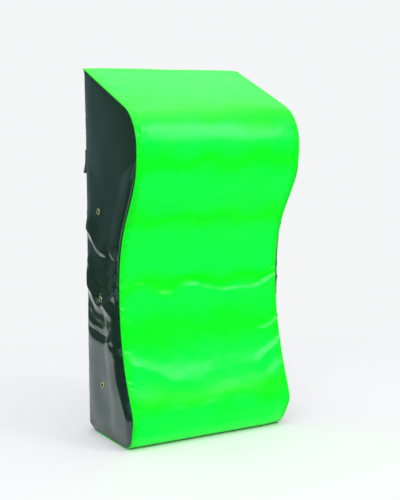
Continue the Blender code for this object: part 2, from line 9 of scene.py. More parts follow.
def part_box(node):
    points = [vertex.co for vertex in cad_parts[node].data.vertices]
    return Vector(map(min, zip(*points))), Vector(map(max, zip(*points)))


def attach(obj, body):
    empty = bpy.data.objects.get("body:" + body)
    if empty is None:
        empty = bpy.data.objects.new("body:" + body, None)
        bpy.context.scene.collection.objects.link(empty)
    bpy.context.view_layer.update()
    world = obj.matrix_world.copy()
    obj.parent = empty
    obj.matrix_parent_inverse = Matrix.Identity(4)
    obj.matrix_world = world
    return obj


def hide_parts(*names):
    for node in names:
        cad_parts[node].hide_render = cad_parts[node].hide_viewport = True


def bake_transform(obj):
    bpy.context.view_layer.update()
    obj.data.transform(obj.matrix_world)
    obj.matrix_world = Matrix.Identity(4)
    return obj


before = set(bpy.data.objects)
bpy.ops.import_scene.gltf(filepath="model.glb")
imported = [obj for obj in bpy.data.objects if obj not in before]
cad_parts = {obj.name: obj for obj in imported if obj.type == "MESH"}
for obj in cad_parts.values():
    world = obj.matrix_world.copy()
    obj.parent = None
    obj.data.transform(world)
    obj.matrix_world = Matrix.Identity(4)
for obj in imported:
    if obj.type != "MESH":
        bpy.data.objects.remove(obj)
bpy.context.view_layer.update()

# Sizes of the solid model, in metres
HEIGHT = 0.900
HALF_WIDTH = 0.2175
TOP_SLOPE = math.radians(22.8)
SHOULDER_DEPTH, SHOULDER_RADIUS = 0.293, 0.098
WAIST_DEPTH, WAIST_HEIGHT = 0.185, 0.368
BELLY_DEPTH, BELLY_HEIGHT = 0.248, 0.071
FOOT_DEPTH, FOOT_RADIUS = 0.195, 0.043
FOOT_CURVE, BELLY_CURVE, WAIST_CURVE = (0.60, 0.50), (0.12, 0.60), (0.58, 0.42)
HEEL_RADIUS = 0.025
BACK_Y = (FOOT_DEPTH + HEEL_RADIUS) / 2
CLEARANCE = 0.0003
COVER = 0.0016
SEAM_INSET = COVER + CLEARANCE
VENT_DEPTH, VENT_LOW, VENT_SPACING = 0.088, 0.133, 0.2113
VENTS = [(VENT_DEPTH, VENT_LOW + i * VENT_SPACING) for i in range(3)]
ZIP_LOW, ZIP_LENGTH = 0.105, 0.685
ZIP_TOP = ZIP_LOW + ZIP_LENGTH
SLOT_HALF = 0.0078
OUTLINE_EASE = 0.010
GRID = 0.003
SIDES = (("left", -1), ("right", 1))

# camera of the photo: its place, direction, turn about its axis and focal length in pixels
CAMERA_PLACE = np.array((-1.2171, BACK_Y - 2.3596, 0.7499))
CAMERA_YAW, CAMERA_PITCH, CAMERA_TURN = 0.50980, 0.11692, -0.01351
CAMERA_FOCAL = 1036.2
FRAME_WIDTH, FRAME_HEIGHT = 400, 500


def camera_axes():
    """Right, up and forward."""
    level = math.cos(CAMERA_PITCH)
    forward = np.array((math.sin(CAMERA_YAW) * level, math.cos(CAMERA_YAW) * level, -math.sin(CAMERA_PITCH)))
    right = np.array((math.cos(CAMERA_YAW), -math.sin(CAMERA_YAW), 0.0))
    up = np.cross(right, forward)
    c, s = math.cos(CAMERA_TURN), math.sin(CAMERA_TURN)
    return c * right + s * up, c * up - s * right, forward


# Outline of the cover, seen from the side
def bezier(a, b, c, d, t):
    s = 1 - t
    return s**3 * a + 3 * s * s * t * b + 3 * s * t * t * c + t**3 * d


def swell(start, end, shares, count=160):
    t = np.linspace(0, 1, count, endpoint=False)
    rise = end[1] - start[1]
    depth = bezier(start[0], start[0], end[0], end[0], t)
    height = bezier(start[1], start[1] + shares[0] * rise, end[1] - shares[1] * rise, end[1], t)
    return np.c_[depth, height]


def arc(centre, radius, start, end, count=90):
    t = np.linspace(start, end, count, endpoint=False)
    return np.c_[centre[0] + radius * np.cos(t), centre[1] + radius * np.sin(t)]


def run_lengths(points):
    """How far along the path each of its points lies."""
    return np.r_[0, np.cumsum(np.linalg.norm(np.diff(points, axis=0), axis=1))]


def resample(points, pitch):
    """The path at an even pitch, its outward normals and its run, in metres."""
    lengths = np.r_[0, np.cumsum(np.hypot(*np.diff(points, axis=0).T))]
    run = np.linspace(0, lengths[-1], max(int(lengths[-1] / pitch), 2) + 1)
    even = np.c_[np.interp(run, lengths, points[:, 0]), np.interp(run, lengths, points[:, 1])]
    along = np.gradient(even, axis=0)
    along /= np.hypot(*along.T)[:, None]
    return even, np.c_[along[:, 1], -along[:, 0]], run


def face_outline():
    """Base, front, shoulder and top, as depth in front of the back and height."""
    turn = math.pi / 2 - TOP_SLOPE
    shoulder = HEIGHT - SHOULDER_DEPTH * math.tan(TOP_SLOPE) - SHOULDER_RADIUS * math.tan(turn / 2)
    start = np.linspace(HEEL_RADIUS + CLEARANCE, FOOT_DEPTH, 60, endpoint=False)
    wall = [
        np.c_[start, 0 * start],
        arc((FOOT_DEPTH, FOOT_RADIUS), FOOT_RADIUS, -math.pi / 2, 0),
        swell((FOOT_DEPTH + FOOT_RADIUS, FOOT_RADIUS), (BELLY_DEPTH, BELLY_HEIGHT), FOOT_CURVE),
        swell((BELLY_DEPTH, BELLY_HEIGHT), (WAIST_DEPTH, WAIST_HEIGHT), BELLY_CURVE),
        swell((WAIST_DEPTH, WAIST_HEIGHT), (SHOULDER_DEPTH, shoulder), WAIST_CURVE),
        arc((SHOULDER_DEPTH - SHOULDER_RADIUS, shoulder), SHOULDER_RADIUS, 0, turn),
    ]
    end = wall[-1][-1, 0]
    top = np.linspace(end, 0, 120)[1:]
    wall.append(np.c_[top, HEIGHT - top * math.tan(TOP_SLOPE)])
    path, _, _ = resample(np.vstack(wall), GRID)
    return resample(eased(path, OUTLINE_EASE / GRID), GRID)


def eased(path, reach):
    """The path with its bends eased over a reach, in steps; its ends stay."""
    count = int(3 * reach)
    weights = np.exp(-0.5 * (np.arange(-count, count + 1) / reach) ** 2)
    weights /= weights.sum()
    longer = np.pad(path, ((count, count), (0, 0)), mode="reflect", reflect_type="odd")
    return np.c_[np.convolve(longer[:, 0], weights, "valid"), np.convolve(longer[:, 1], weights, "valid")]


def smooth(t):
    t = np.clip(t, 0, 1)
    return t * t * (3 - 2 * t)


def bell(value, centre, width):
    return np.exp(-(((value - centre) / width) ** 2))


def columns_of(values, count):
    return np.repeat(values[:, None], count, 1)


def crown_share(share):
    return 1 - np.abs(2 * share - 1) ** 4


def roll(distance, radius, drop):
    """How far a panel's edge rolls in towards its seam, at a distance from the seam."""
    t = np.clip(1 - distance / radius, 0, 1)
    return drop * (1 - np.sqrt(1 - t * t))


# The photo's places on the cover
# in pixels, more than any miss in the picture
HIDDEN_MISS = 1e3


def on_front(pixels, columns=219):
    """Places on the front panel, across it and along its run, that the camera sees at the pixels."""
    path, outward, run = face_outline()
    x, s = np.meshgrid(np.linspace(-HALF_WIDTH, HALF_WIDTH, columns), run)
    depth, height = (columns_of(values, columns) for values in path.T)
    grid = np.stack([x, BACK_Y - depth, height], -1)
    outwards = np.c_[np.zeros(len(run)), -outward[:, 0], outward[:, 1]][:, None, :]
    right, up, forward = camera_axes()
    sight = grid - CAMERA_PLACE
    away = sight @ forward
    across = FRAME_WIDTH / 2 + CAMERA_FOCAL * (sight @ right) / away
    down = FRAME_HEIGHT / 2 - CAMERA_FOCAL * (sight @ up) / away
    hidden = (sight * outwards).sum(-1) > 0
    places = []
    for pixel in pixels:
        miss = np.hypot(across - pixel[0], down - pixel[1]) + HIDDEN_MISS * hidden
        nearest = miss.argmin()
        places.append((x.ravel()[nearest], s.ravel()[nearest]))
    return places


def on_side(pixels):
    """Places on the left gusset, as depth and height, that the camera sees at the pixels."""
    right, up, forward = camera_axes()
    places = []
    for across, down in pixels:
        ray = CAMERA_FOCAL * forward + (across - FRAME_WIDTH / 2) * right - (down - FRAME_HEIGHT / 2) * up
        point = CAMERA_PLACE + ray * (-HALF_WIDTH - GUSSET_CROWN - CAMERA_PLACE[0]) / ray[0]
        places.append((BACK_Y - point[1], point[2]))
    return places


# How the stuffed cover departs from the plan
FACE_CROWN, GUSSET_CROWN, CROWN_EASE = 0.004, 0.006, 0.060
CORNER_RISE, CORNER_REACH = 0.0085, 0.010
LEAN, CHEST_LEAN, BELLY_LEAN = 0.003, (0.55, 0.11), (0.20, 0.11)
FLARE, FLARE_INSET, FLARE_TOP, FLARE_REACH, FLARE_FOOT = 0.0085, 0.003, 0.80, 0.75, 0.02


def lean(x, height):
    """The left side stands deeper at the chest and shallower at the belly; the right side, the reverse."""
    return -LEAN * x / HALF_WIDTH * (bell(height, *CHEST_LEAN) - bell(height, *BELLY_LEAN))


def flare(height):
    """How far the back edges stand out past the plan: in at the top, out at the bottom."""
    return FLARE * smooth((FLARE_TOP - height) / FLARE_REACH) - FLARE_INSET


SOFT_CORNERS = (
    # corner, how it gives way, its reach
    ((HALF_WIDTH, BACK_Y, HEIGHT), (-0.0005, -0.0003, -0.0012), 0.020),
    ((-HALF_WIDTH, BACK_Y, HEIGHT), (0.0005, 0.0, -0.0010), 0.030),
    ((HALF_WIDTH, BACK_Y - BELLY_DEPTH, 0.0), (-0.0100, 0.0030, 0.0040), 0.070),
    ((-HALF_WIDTH, BACK_Y - BELLY_DEPTH, 0.0), (0.0030, 0.0010, 0.0015), 0.045),
)


def soften_corners(points):
    for corner, give, reach in SOFT_CORNERS:
        away = np.linalg.norm(points - np.array(corner), axis=-1)
        points = points + smooth(1 - away / reach)[..., None] * np.array(give)
    return points


# Folds and puckers
def soft_noise(a, b, size, seed, count=28):
    """Smooth random waves of about the given size, from -1 to 1."""
    rng = np.random.default_rng(seed)
    total = np.zeros_like(a)
    for _ in range(count):
        angle, phase = rng.uniform(0, math.tau, 2)
        wave = math.tau / (size * rng.uniform(0.7, 1.6))
        total += np.sin((a * math.cos(angle) + b * math.sin(angle)) * wave + phase)
    return total / math.sqrt(count)


def seam_noise(run, size, seed, count=40):
    """Random waves along a seam."""
    rng = np.random.default_rng(seed)
    total = np.zeros_like(run)
    for _ in range(count):
        wave = math.tau / (size * rng.uniform(0.55, 2.2))
        total += np.sin(run * wave + rng.uniform(0, math.tau))
    return total / math.sqrt(count)


def curve_through(points, count=26):
    """A smooth path through the points."""
    p = np.asarray(points, float)
    if len(p) == 2:
        return np.linspace(p[0], p[1], count)
    knots = np.r_[0, np.cumsum(np.hypot(*np.diff(p, axis=0).T))]
    tangent = np.gradient(p, knots, axis=0)
    out = []
    for t in np.linspace(0, knots[-1], count):
        i = min(np.searchsorted(knots, t, side="right") - 1, len(p) - 2)
        h = knots[i + 1] - knots[i]
        s = (t - knots[i]) / h
        out.append(
            (2 * s**3 - 3 * s * s + 1) * p[i]
            + (s**3 - 2 * s * s + s) * h * tangent[i]
            + (3 * s * s - 2 * s**3) * p[i + 1]
            + (s**3 - s * s) * h * tangent[i + 1]
        )
    return np.array(out)


def nearest_on_path(a, b, path):
    """Signed distance to the path and the share of its length, for every point."""
    best = np.full(a.shape, np.inf)
    share = np.zeros(a.shape)
    sign = np.ones(a.shape)
    steps = len(path) - 1
    for i in range(steps):
        p, d = path[i], path[i + 1] - path[i]
        length = max(d @ d, 1e-12)
        t = np.clip(((a - p[0]) * d[0] + (b - p[1]) * d[1]) / length, 0, 1)
        da, db = a - p[0] - t * d[0], b - p[1] - t * d[1]
        gap = np.hypot(da, db)
        closer = gap < best
        best = np.where(closer, gap, best)
        share = np.where(closer, (i + t) / steps, share)
        sign = np.where(closer, np.where(d[0] * db - d[1] * da < 0, -1.0, 1.0), sign)
    return best * sign, share


# a fold's sharpness, the trough beside it and that trough's width, and the share over which it dies out
RIDGE_POWER, TROUGH, TROUGH_WIDTH, FOLD_END = 1.5, 0.30, 2.1, 0.35


def fold_height(a, b, folds):
    """Height of all the folds: each is its path, width at both ends, height at both ends, and skew."""
    total = np.zeros_like(a)
    for path, widths, heights, skew in folds:
        path = curve_through(path)
        reach = 4 * max(widths)
        low, high = path.min(0) - reach, path.max(0) + reach
        near = (a > low[0]) & (a < high[0]) & (b > low[1]) & (b < high[1])
        if not near.any():
            continue
        gap, share = nearest_on_path(a[near], b[near], path)
        width = widths[0] + (widths[1] - widths[0]) * share
        height = heights[0] + (heights[1] - heights[0]) * share
        cap = smooth((1 - share) / FOLD_END)
        t = gap / width
        trough = TROUGH * bell(t, 0, TROUGH_WIDTH)
        ridge = np.exp(-np.abs(t) ** RIDGE_POWER) - trough + skew * t * bell(t, 0, 1)
        total[near] += height * cap * ridge
    return total


# Mesh helpers
def grid_faces(rows, columns, flip=False):
    i, j = np.meshgrid(np.arange(rows - 1), np.arange(columns - 1), indexing="ij")
    a = (i * columns + j).ravel()
    quads = np.c_[a, a + 1, a + columns + 1, a + columns]
    return quads[:, ::-1] if flip else quads


def linked(name, data):
    made = bpy.data.objects.new(name, data)
    bpy.context.scene.collection.objects.link(made)
    return made


def new_piece(name, points, faces, material, uv=None, **attributes):
    """A smooth mesh, with a value at each point for each attribute."""
    mesh = bpy.data.meshes.new(name)
    mesh.from_pydata(np.asarray(points, float).reshape(-1, 3).tolist(), [], faces)
    mesh.materials.append(MATERIALS[material])
    if uv is not None:
        layer = mesh.uv_layers.new(name="UVMap")
        corner = np.zeros(len(mesh.loops), np.int32)
        mesh.loops.foreach_get("vertex_index", corner)
        layer.data.foreach_set("uv", np.asarray(uv, np.float32).reshape(-1, 2)[corner].ravel())
    for label, values in attributes.items():
        attribute = mesh.attributes.new(label, "FLOAT", "POINT")
        attribute.data.foreach_set("value", np.asarray(values, np.float32).ravel())
    mesh.shade_smooth()
    mesh.update()
    return linked(name, mesh)


def thicken(piece, thickness):
    solid = piece.modifiers.new("Solidify", "SOLIDIFY")
    solid.thickness = thickness
    solid.offset = -1
    settle(piece)


def settle(piece):
    """Keeps the piece's mesh as its modifiers shape it."""
    bpy.context.view_layer.update()
    shaped = bpy.data.meshes.new_from_object(piece.evaluated_get(bpy.context.evaluated_depsgraph_get()))
    piece.modifiers.clear()
    piece.data = shaped


def bevelled(piece, width, segments=2):
    bevel = piece.modifiers.new("Bevel", "BEVEL")
    bevel.width = width
    bevel.segments = segments
    bevel.limit_method = "ANGLE"
    bevel.angle_limit = math.radians(35)


def spaced(low, high, edge_step, middle_step, edge_reach):
    """Positions between two edges, close together near both of them."""
    steps, t, half = [0.0], 0.0, (high - low) / 2
    while t < half:
        t += edge_step + (middle_step - edge_step) * min(t / edge_reach, 1.0)
        steps.append(t)
    steps = np.array(steps) * half / steps[-1]
    return np.r_[low + steps, high - steps[-2::-1]]


# Materials
class Nodes:
    """The node tree of a material or a world, built by name."""

    def __init__(self, owner):
        owner.use_nodes = True
        self.owner = owner
        self.tree = owner.node_tree
        self.shader = self.tree.nodes.get("Principled BSDF")

    def add(self, kind, inputs=None, **settings):
        made = self.tree.nodes.new("ShaderNode" + kind)
        for key, value in settings.items():
            setattr(made, key, value)
        for key, value in (inputs or {}).items():
            self.put(made.inputs[key], value)
        return made

    def put(self, socket, value):
        if isinstance(value, bpy.types.NodeSocket):
            self.tree.links.new(value, socket)
        else:
            socket.default_value = value

    def set(self, **inputs):
        for key, value in inputs.items():
            self.put(self.shader.inputs[key.replace("_", " ")], value)

    def show(self, shader):
        """Ends the tree in the shader."""
        output = next(node for node in self.tree.nodes if node.type.startswith("OUTPUT"))
        self.put(output.inputs[0], shader.outputs[0])
        return self.owner

    def noise(self, vector, scale, detail=3.0, roughness=0.55, distortion=0.0):
        inputs = {"Vector": vector, "Scale": scale, "Detail": detail, "Roughness": roughness}
        return self.add("TexNoise", {**inputs, "Distortion": distortion}).outputs["Fac"]

    def wave(self, vector, scale, distortion, direction, detail=2.0):
        inputs = {"Vector": vector, "Scale": scale, "Distortion": distortion, "Detail": detail}
        return self.add("TexWave", inputs, bands_direction=direction).outputs["Fac"]

    def cells(self, vector, scale):
        return self.add("TexVoronoi", {"Vector": vector, "Scale": scale}).outputs["Distance"]

    def attribute(self, label):
        return self.add("Attribute", attribute_name=label).outputs["Fac"]

    def math(self, operation, first, second=0.0, clamp=False):
        return self.add("Math", {0: first, 1: second}, operation=operation, use_clamp=clamp).outputs[0]

    def remap(self, value, low, high, to_low, to_high):
        return self.add("MapRange", {0: value, 1: low, 2: high, 3: to_low, 4: to_high}).outputs[0]

    def mix(self, share, first, second):
        return self.add("Mix", {0: share, 6: first, 7: second}, data_type="RGBA").outputs[2]

    def bump(self, height, strength, distance, normal=None):
        inputs = {"Height": height, "Strength": strength, "Distance": distance}
        if normal is not None:
            inputs["Normal"] = normal
        return self.add("Bump", inputs).outputs["Normal"]

    def place(self, source="Object"):
        return self.add("TexCoord").outputs[source]


def material_nodes(name):
    return Nodes(bpy.data.materials.new(name))


def vinyl(name, main, shade, warm, seam, tint, roughness, ior):
    """Coated PVC cloth: a fine pebble grain over a faint scrim and soft ripples, with painted shade and
    painted reflection near the seams and in bands.
    """
    n = material_nodes(name)
    where = n.place()
    broad = n.noise(where, 7.0, 2.0)
    cloudy = n.noise(where, 34.0, 4.0, 0.6)
    tone = n.mix(n.remap(broad, 0.35, 0.65, 0.0, 1.0), main, shade)
    # painted dim reflection: in bands the colour turns to a yellower green, standing in for dim reflections
    tone = n.mix(n.attribute("warm"), tone, warm)
    # painted shade and reflection: within 22 mm of a seam or an edge the colour turns to the seam colour
    tone = n.mix(n.remap(n.attribute("seam"), 0.0, 0.022, 1.0, 0.0), tone, seam)
    n.set(Base_Color=tone, IOR=ior, Specular_Tint=tint)
    worn = n.math("ADD", n.remap(cloudy, 0.3, 0.7, -0.04, 0.05), n.remap(broad, 0.3, 0.7, -0.02, 0.03))
    n.set(Roughness=n.math("ADD", worn, roughness, clamp=True))
    ripple = n.bump(n.noise(where, 58.0, 1.0, 0.4), 0.035, 0.0012)
    scrim = n.bump(n.noise(where, 420.0, 2.0), 0.04, 0.0002, ripple)
    n.set(Normal=n.bump(n.cells(where, 900.0), 0.03, 0.0002, scrim))
    return n.owner


def green_vinyl(name):
    return vinyl(
        # the painted dim reflection colour has almost no blue
        name, main=(0.0, 0.98, 0.056, 1), shade=(0.0, 0.97, 0.046, 1), warm=(0.0, 0.98, 0.004, 1),
        # the seam colour is painted shade, darker near the seams and along the foot and the top edge
        seam=(0.0, 0.78, 0.004, 1), tint=(0.36, 1.0, 0.52, 1), roughness=0.25, ior=1.5,
    )


def black_vinyl(name):
    black = (0.0095, 0.0185, 0.016, 1)
    return vinyl(
        name, main=black, shade=(0.0075, 0.0145, 0.0125, 1), warm=black,
        # the seam colour is a painted green-tinted reflection near the seams and edges
        seam=(0.004, 0.022, 0.011, 1), tint=(0.70, 1, 1, 1), roughness=0.14, ior=1.72,
    )


def webbing(name):
    n = material_nodes(name)
    where = n.place("UV")
    warp = n.wave(where, 95.0, 0.6, "Y", detail=1.0)
    weft = n.wave(where, 150.0, 0.5, "X", detail=1.0)
    ribs = n.math("MULTIPLY", warp, n.remap(weft, 0, 1, 0.35, 1.0))
    lint = n.noise(n.place(), 260.0, 4.0, 0.7)
    tone = n.mix(ribs, (0.006, 0.008, 0.009, 1), (0.034, 0.040, 0.044, 1))
    n.set(Base_Color=n.mix(n.remap(lint, 0.55, 0.8, 0.0, 0.5), tone, (0.09, 0.10, 0.11, 1)))
    n.set(Roughness=n.remap(ribs, 0, 1, 0.75, 0.48), Sheen_Weight=0.35, Sheen_Roughness=0.4)
    n.set(Normal=n.bump(ribs, 0.7, 0.0007, n.bump(lint, 0.2, 0.0004)))
    return n.owner


def zip_tape(name):
    n = material_nodes(name)
    rib = n.wave(n.place("UV"), 330.0, 0.4, "DIAGONAL")
    fuzz = n.noise(n.place(), 500.0)
    n.set(Base_Color=n.mix(rib, (0.008, 0.008, 0.009, 1), (0.035, 0.035, 0.038, 1)))
    n.set(Roughness=n.remap(fuzz, 0.3, 0.7, 0.7, 0.95), Sheen_Weight=0.25)
    n.set(Normal=n.bump(rib, 0.6, 0.0003))
    return n.owner


def zip_plastic(name):
    n = material_nodes(name)
    where = n.place()
    speck = n.noise(where, 700.0)
    n.set(Base_Color=n.mix(n.noise(where, 40.0), (0.010, 0.010, 0.011, 1), (0.022, 0.022, 0.024, 1)))
    n.set(Roughness=n.remap(speck, 0.3, 0.7, 0.28, 0.48), Normal=n.bump(speck, 0.15, 0.0002))
    return n.owner


def zip_metal(name):
    n = material_nodes(name)
    where = n.place()
    brushed = n.add("Mapping", {"Vector": where, "Scale": (1200.0, 1200.0, 60.0)}).outputs["Vector"]
    brush = n.noise(brushed, 1.0)
    spots = n.noise(where, 220.0, 4.0, 0.7)
    n.set(Base_Color=n.mix(n.remap(spots, 0.5, 0.75, 0, 0.6), (0.52, 0.52, 0.54, 1), (0.30, 0.29, 0.28, 1)))
    n.set(Metallic=1.0, Roughness=n.remap(brush, 0.3, 0.7, 0.2, 0.42), Normal=n.bump(brush, 0.12, 0.0001))
    return n.owner


def brass(name):
    n = material_nodes(name)
    where = n.place()
    tarnish = n.noise(where, 420.0, 4.0, 0.65, 0.4)
    # the bore, the rim round it and the washer are painted near black: painted shade in the hole, and they
    # are rougher
    dull = n.attribute("dull")
    polished = n.mix(n.remap(tarnish, 0.45, 0.75, 0, 0.8), (0.96, 0.79, 0.40, 1), (0.62, 0.42, 0.16, 1))
    rough = n.math("ADD", n.remap(tarnish, 0.3, 0.7, 0.22, 0.40), n.math("MULTIPLY", dull, 0.4))
    n.set(Base_Color=n.mix(dull, polished, (0.030, 0.022, 0.012, 1)), Metallic=1.0, Roughness=rough)
    n.set(Normal=n.bump(n.noise(where, 2600.0, 2.0), 0.08, 0.0001))
    return n.owner


def foam(name, light, dark, scale):
    n = material_nodes(name)
    where = n.place()
    cell = n.cells(where, scale)
    n.set(Base_Color=n.mix(n.remap(cell, 0.0, 0.6, 0, 1), dark, light))
    n.set(Roughness=n.remap(n.noise(where, 90.0), 0.3, 0.7, 0.85, 1.0))
    n.set(Normal=n.bump(cell, 0.5, 0.0008))
    return n.owner


def soft_foam(name):
    return foam(name, (0.46, 0.48, 0.50, 1), (0.16, 0.17, 0.18, 1), 380.0)


def firm_foam(name):
    return foam(name, (0.17, 0.18, 0.20, 1), (0.05, 0.055, 0.06, 1), 620.0)


def thread(name):
    n = material_nodes(name)
    ply = n.wave(n.place(), 500.0, 1.0, "DIAGONAL")
    n.set(Base_Color=n.mix(ply, (0.012, 0.013, 0.014, 1), (0.07, 0.075, 0.08, 1)))
    n.set(Roughness=n.remap(ply, 0, 1, 0.6, 0.4), Normal=n.bump(ply, 0.4, 0.0002))
    return n.owner


MATERIALS = {
    make.__name__: make(make.__name__)
    for make in (
        green_vinyl, black_vinyl, webbing, thread, zip_tape, zip_plastic, zip_metal, brass,
        soft_foam, firm_foam,
    )
}


# Cover

# Folds in the photo's pixels, from the seam inwards: path, width at both ends, height at both ends, and skew
FACE_FOLDS_PIXELS = (
    # long arch across the chest
    (
        [(126, 233), (135, 226), (152, 219), (190, 219.5), (230, 225), (262, 232), (275, 241)],
        (0.011, 0.015), (-0.0020, -0.0011), 0.6,
    ),
    ([(281, 219), (273, 220), (262, 222)], (0.011, 0.016), (-0.0020, -0.0006), 0.4),
    ([(277, 244), (266, 240), (254, 238)], (0.008, 0.013), (-0.0015, -0.0005), 0.3),
    ([(122, 256), (139, 258), (158, 257)], (0.014, 0.022), (-0.0014, -0.0008), 0.2),
    # waist crease: a hollow above and a roll below it, from seam to seam
    ([(276, 265), (262, 272), (244, 277)], (0.010, 0.015), (-0.0030, -0.0012), 0.3),
    (
        [(276, 275), (268, 281), (252, 286), (228, 288), (200, 289), (170, 290), (140, 291.5)],
        (0.010, 0.015), (0.0056, 0.0034), 0.5,
    ),
    ([(120, 289), (132, 291), (155, 292), (185, 291)], (0.011, 0.015), (0.0032, 0.0024), 0.4),
    ([(119.5, 281), (150, 282.5), (185, 282), (225, 279)], (0.010, 0.014), (-0.0026, -0.0016), 0.2),
    ([(119.5, 275), (126, 277.5)], (0.004, 0.005), (0.0018, 0.0006), 0.0),
    ([(120, 305), (132, 309), (150, 311)], (0.009, 0.015), (-0.0018, -0.0007), 0.3),
    ([(121, 324), (131, 330), (147, 334)], (0.008, 0.014), (0.0030, 0.0010), 0.4),
    # folds below the waist
    ([(278, 318), (268, 327), (248, 331)], (0.009, 0.016), (0.0032, 0.0010), 0.4),
    ([(280, 338), (268, 349), (258, 360), (250, 371)], (0.011, 0.017), (0.0062, 0.0022), 0.5),
    ([(281, 352), (270, 362), (262, 374)], (0.011, 0.015), (-0.0022, -0.0009), 0.2),
    ([(123, 357), (130, 365), (142, 372)], (0.006, 0.012), (0.0040, 0.0014), 0.4),
    ([(124, 360), (142, 372), (166, 379), (196, 381), (225, 377)], (0.018, 0.034), (0.0036, 0.0018), 0.3),
    ([(125, 376), (142, 388), (165, 395)], (0.011, 0.022), (-0.0007, -0.0004), 0.2),
    ([(282, 396), (245, 398), (205, 402), (165, 409), (136, 414)], (0.014, 0.020), (-0.0006, -0.0007), 0.2),
    # top, drawn in from its seams
    ([(97, 78), (103, 79.5), (110, 82)], (0.005, 0.009), (0.0018, 0.0007), 0.2),
    ([(109, 87), (118, 88), (140, 91)], (0.006, 0.011), (0.0019, 0.0007), 0.2),
    ([(117, 95), (130, 98), (160, 101)], (0.007, 0.014), (0.0020, 0.0007), 0.2),
    ([(128, 82), (160, 86), (200, 84)], (0.016, 0.022), (0.0014, 0.0008), 0.2),
    ([(252, 84), (240, 85), (222, 86)], (0.007, 0.013), (0.0016, 0.0006), 0.2),
    ([(275, 99), (262, 99), (244, 101)], (0.007, 0.014), (0.0016, 0.0006), 0.2),
    # shoulder corners
    ([(137, 125), (139.5, 129), (141, 135)], (0.003, 0.0035), (0.0028, 0.0018), 0.0),
    ([(139, 127), (145, 131), (152, 134)], (0.008, 0.016), (0.0026, 0.0012), 0.2),
    ([(136.5, 154), (141, 156), (146, 159)], (0.005, 0.008), (0.0018, 0.0007), 0.0),
    ([(297, 121), (288, 126), (275, 130)], (0.007, 0.013), (0.0024, 0.0009), 0.2),
)

SIDE_FOLDS_PIXELS = (
    ([(96, 215.5), (101, 217), (107, 221.5), (112.5, 231)], (0.006, 0.006), (0.0008, 0.0014), 0.2),
    ([(88.5, 229), (92, 236), (99, 247), (110, 259)], (0.026, 0.015), (0.0110, 0.0056), 0.6),
    ([(119.5, 261), (113, 253), (107.5, 247)], (0.0065, 0.006), (0.0042, 0.0020), 0.4),
    ([(88, 260), (91, 266), (97.5, 277), (108.5, 290.5)], (0.012, 0.007), (0.0044, 0.0016), 0.5),
    (
        [(88, 279), (92, 290), (97, 300), (104.5, 308), (111.5, 314), (118, 320)],
        (0.034, 0.020), (0.0110, 0.0062), 0.6,
    ),
    ([(119, 296), (112, 298), (105.5, 303)], (0.009, 0.006), (0.0034, 0.0013), 0.4),
    ([(119.5, 314), (112.5, 310.5)], (0.006, 0.004), (0.0026, 0.0008), 0.2),
    ([(118.8, 266), (114.5, 264)], (0.0035, 0.003), (0.0017, 0.0007), 0.0),
    ([(118.6, 276.5), (114.5, 275)], (0.0035, 0.003), (0.0017, 0.0007), 0.0),
    ([(118.6, 283), (114.5, 281.5)], (0.0035, 0.003), (0.0016, 0.0007), 0.0),
    ([(118.6, 293), (114.5, 291)], (0.0035, 0.003), (0.0016, 0.0007), 0.0),
    ([(88, 309), (95, 321), (105, 327)], (0.012, 0.010), (-0.0023, -0.0013), 0.2),
    ([(89, 325), (95, 331), (103, 336), (113, 331)], (0.014, 0.011), (-0.0039, -0.0026), 0.3),
    ([(121, 350), (115, 347), (108, 343)], (0.010, 0.008), (-0.0031, -0.0013), 0.2),
    ([(122, 357), (117, 357), (111, 361)], (0.008, 0.009), (0.0023, 0.0010), 0.2),
)


# painted bands where the green loses its blue, standing in for dim reflections: height, reach and share
PAINTED_DIM_REFLECTION_BANDS = (
    (0.785, 0.030, 1.0), (0.675, 0.028, 0.9), (0.540, 0.022, 0.9),
    (0.385, 0.019, 1.0), (0.270, 0.050, 0.85), (0.112, 0.026, 1.0),
)
# pitch of the columns at the seams and in the middle, and the reach between
FACE_COLUMNS = 0.0004, 0.0032, 0.016
# where along the run the waist and the shoulder lie, and their reach
FACE_WAIST, FACE_SHOULDER = (0.56, 0.16), (1.02, 0.07)
# how far the seams pull the cloth in, everywhere, at the waist and on the shoulder
FACE_PULL, FACE_WAIST_PULL, FACE_SHOULDER_PULL = 0.00035, 0.0007, 0.0005
# sets the right seam's puckers apart from the left one's
RIGHT_SHIFT = 9.7


def face_relief(x, s, side, crown, wander):
    """How far the front panel stands out of its plan, before its edges roll in."""
    waist, shoulder = bell(s, *FACE_WAIST), bell(s, *FACE_SHOULDER)
    pull = FACE_PULL + FACE_WAIST_PULL * waist + FACE_SHOULDER_PULL * shoulder
    reach = 0.012 + 0.022 * waist
    along = s + np.where(x < 0, 0.0, RIGHT_SHIFT)
    pucker = seam_noise(along + 0.5 * side * np.sin(s * 23.0), 0.020, 11) * pull * np.exp(-side / reach)
    fine = seam_noise(along, 0.0085, 12) * 0.00018 * np.exp(-side / 0.006)
    placed = [(on_front(path), *rest) for path, *rest in FACE_FOLDS_PIXELS]
    folds = fold_height(x + 0.4 * wander, s + wander, placed)
    slack = 0.0004 * soft_noise(x, s * 1.7, 0.11, 5)
    slack += 0.00016 * soft_noise(x, s * 1.4, 0.035, 6) * (0.3 + waist)
    rise = crown + folds * smooth(side / 0.004) + pucker * smooth(side / 0.003)
    return rise + fine + slack * smooth(side / 0.02)


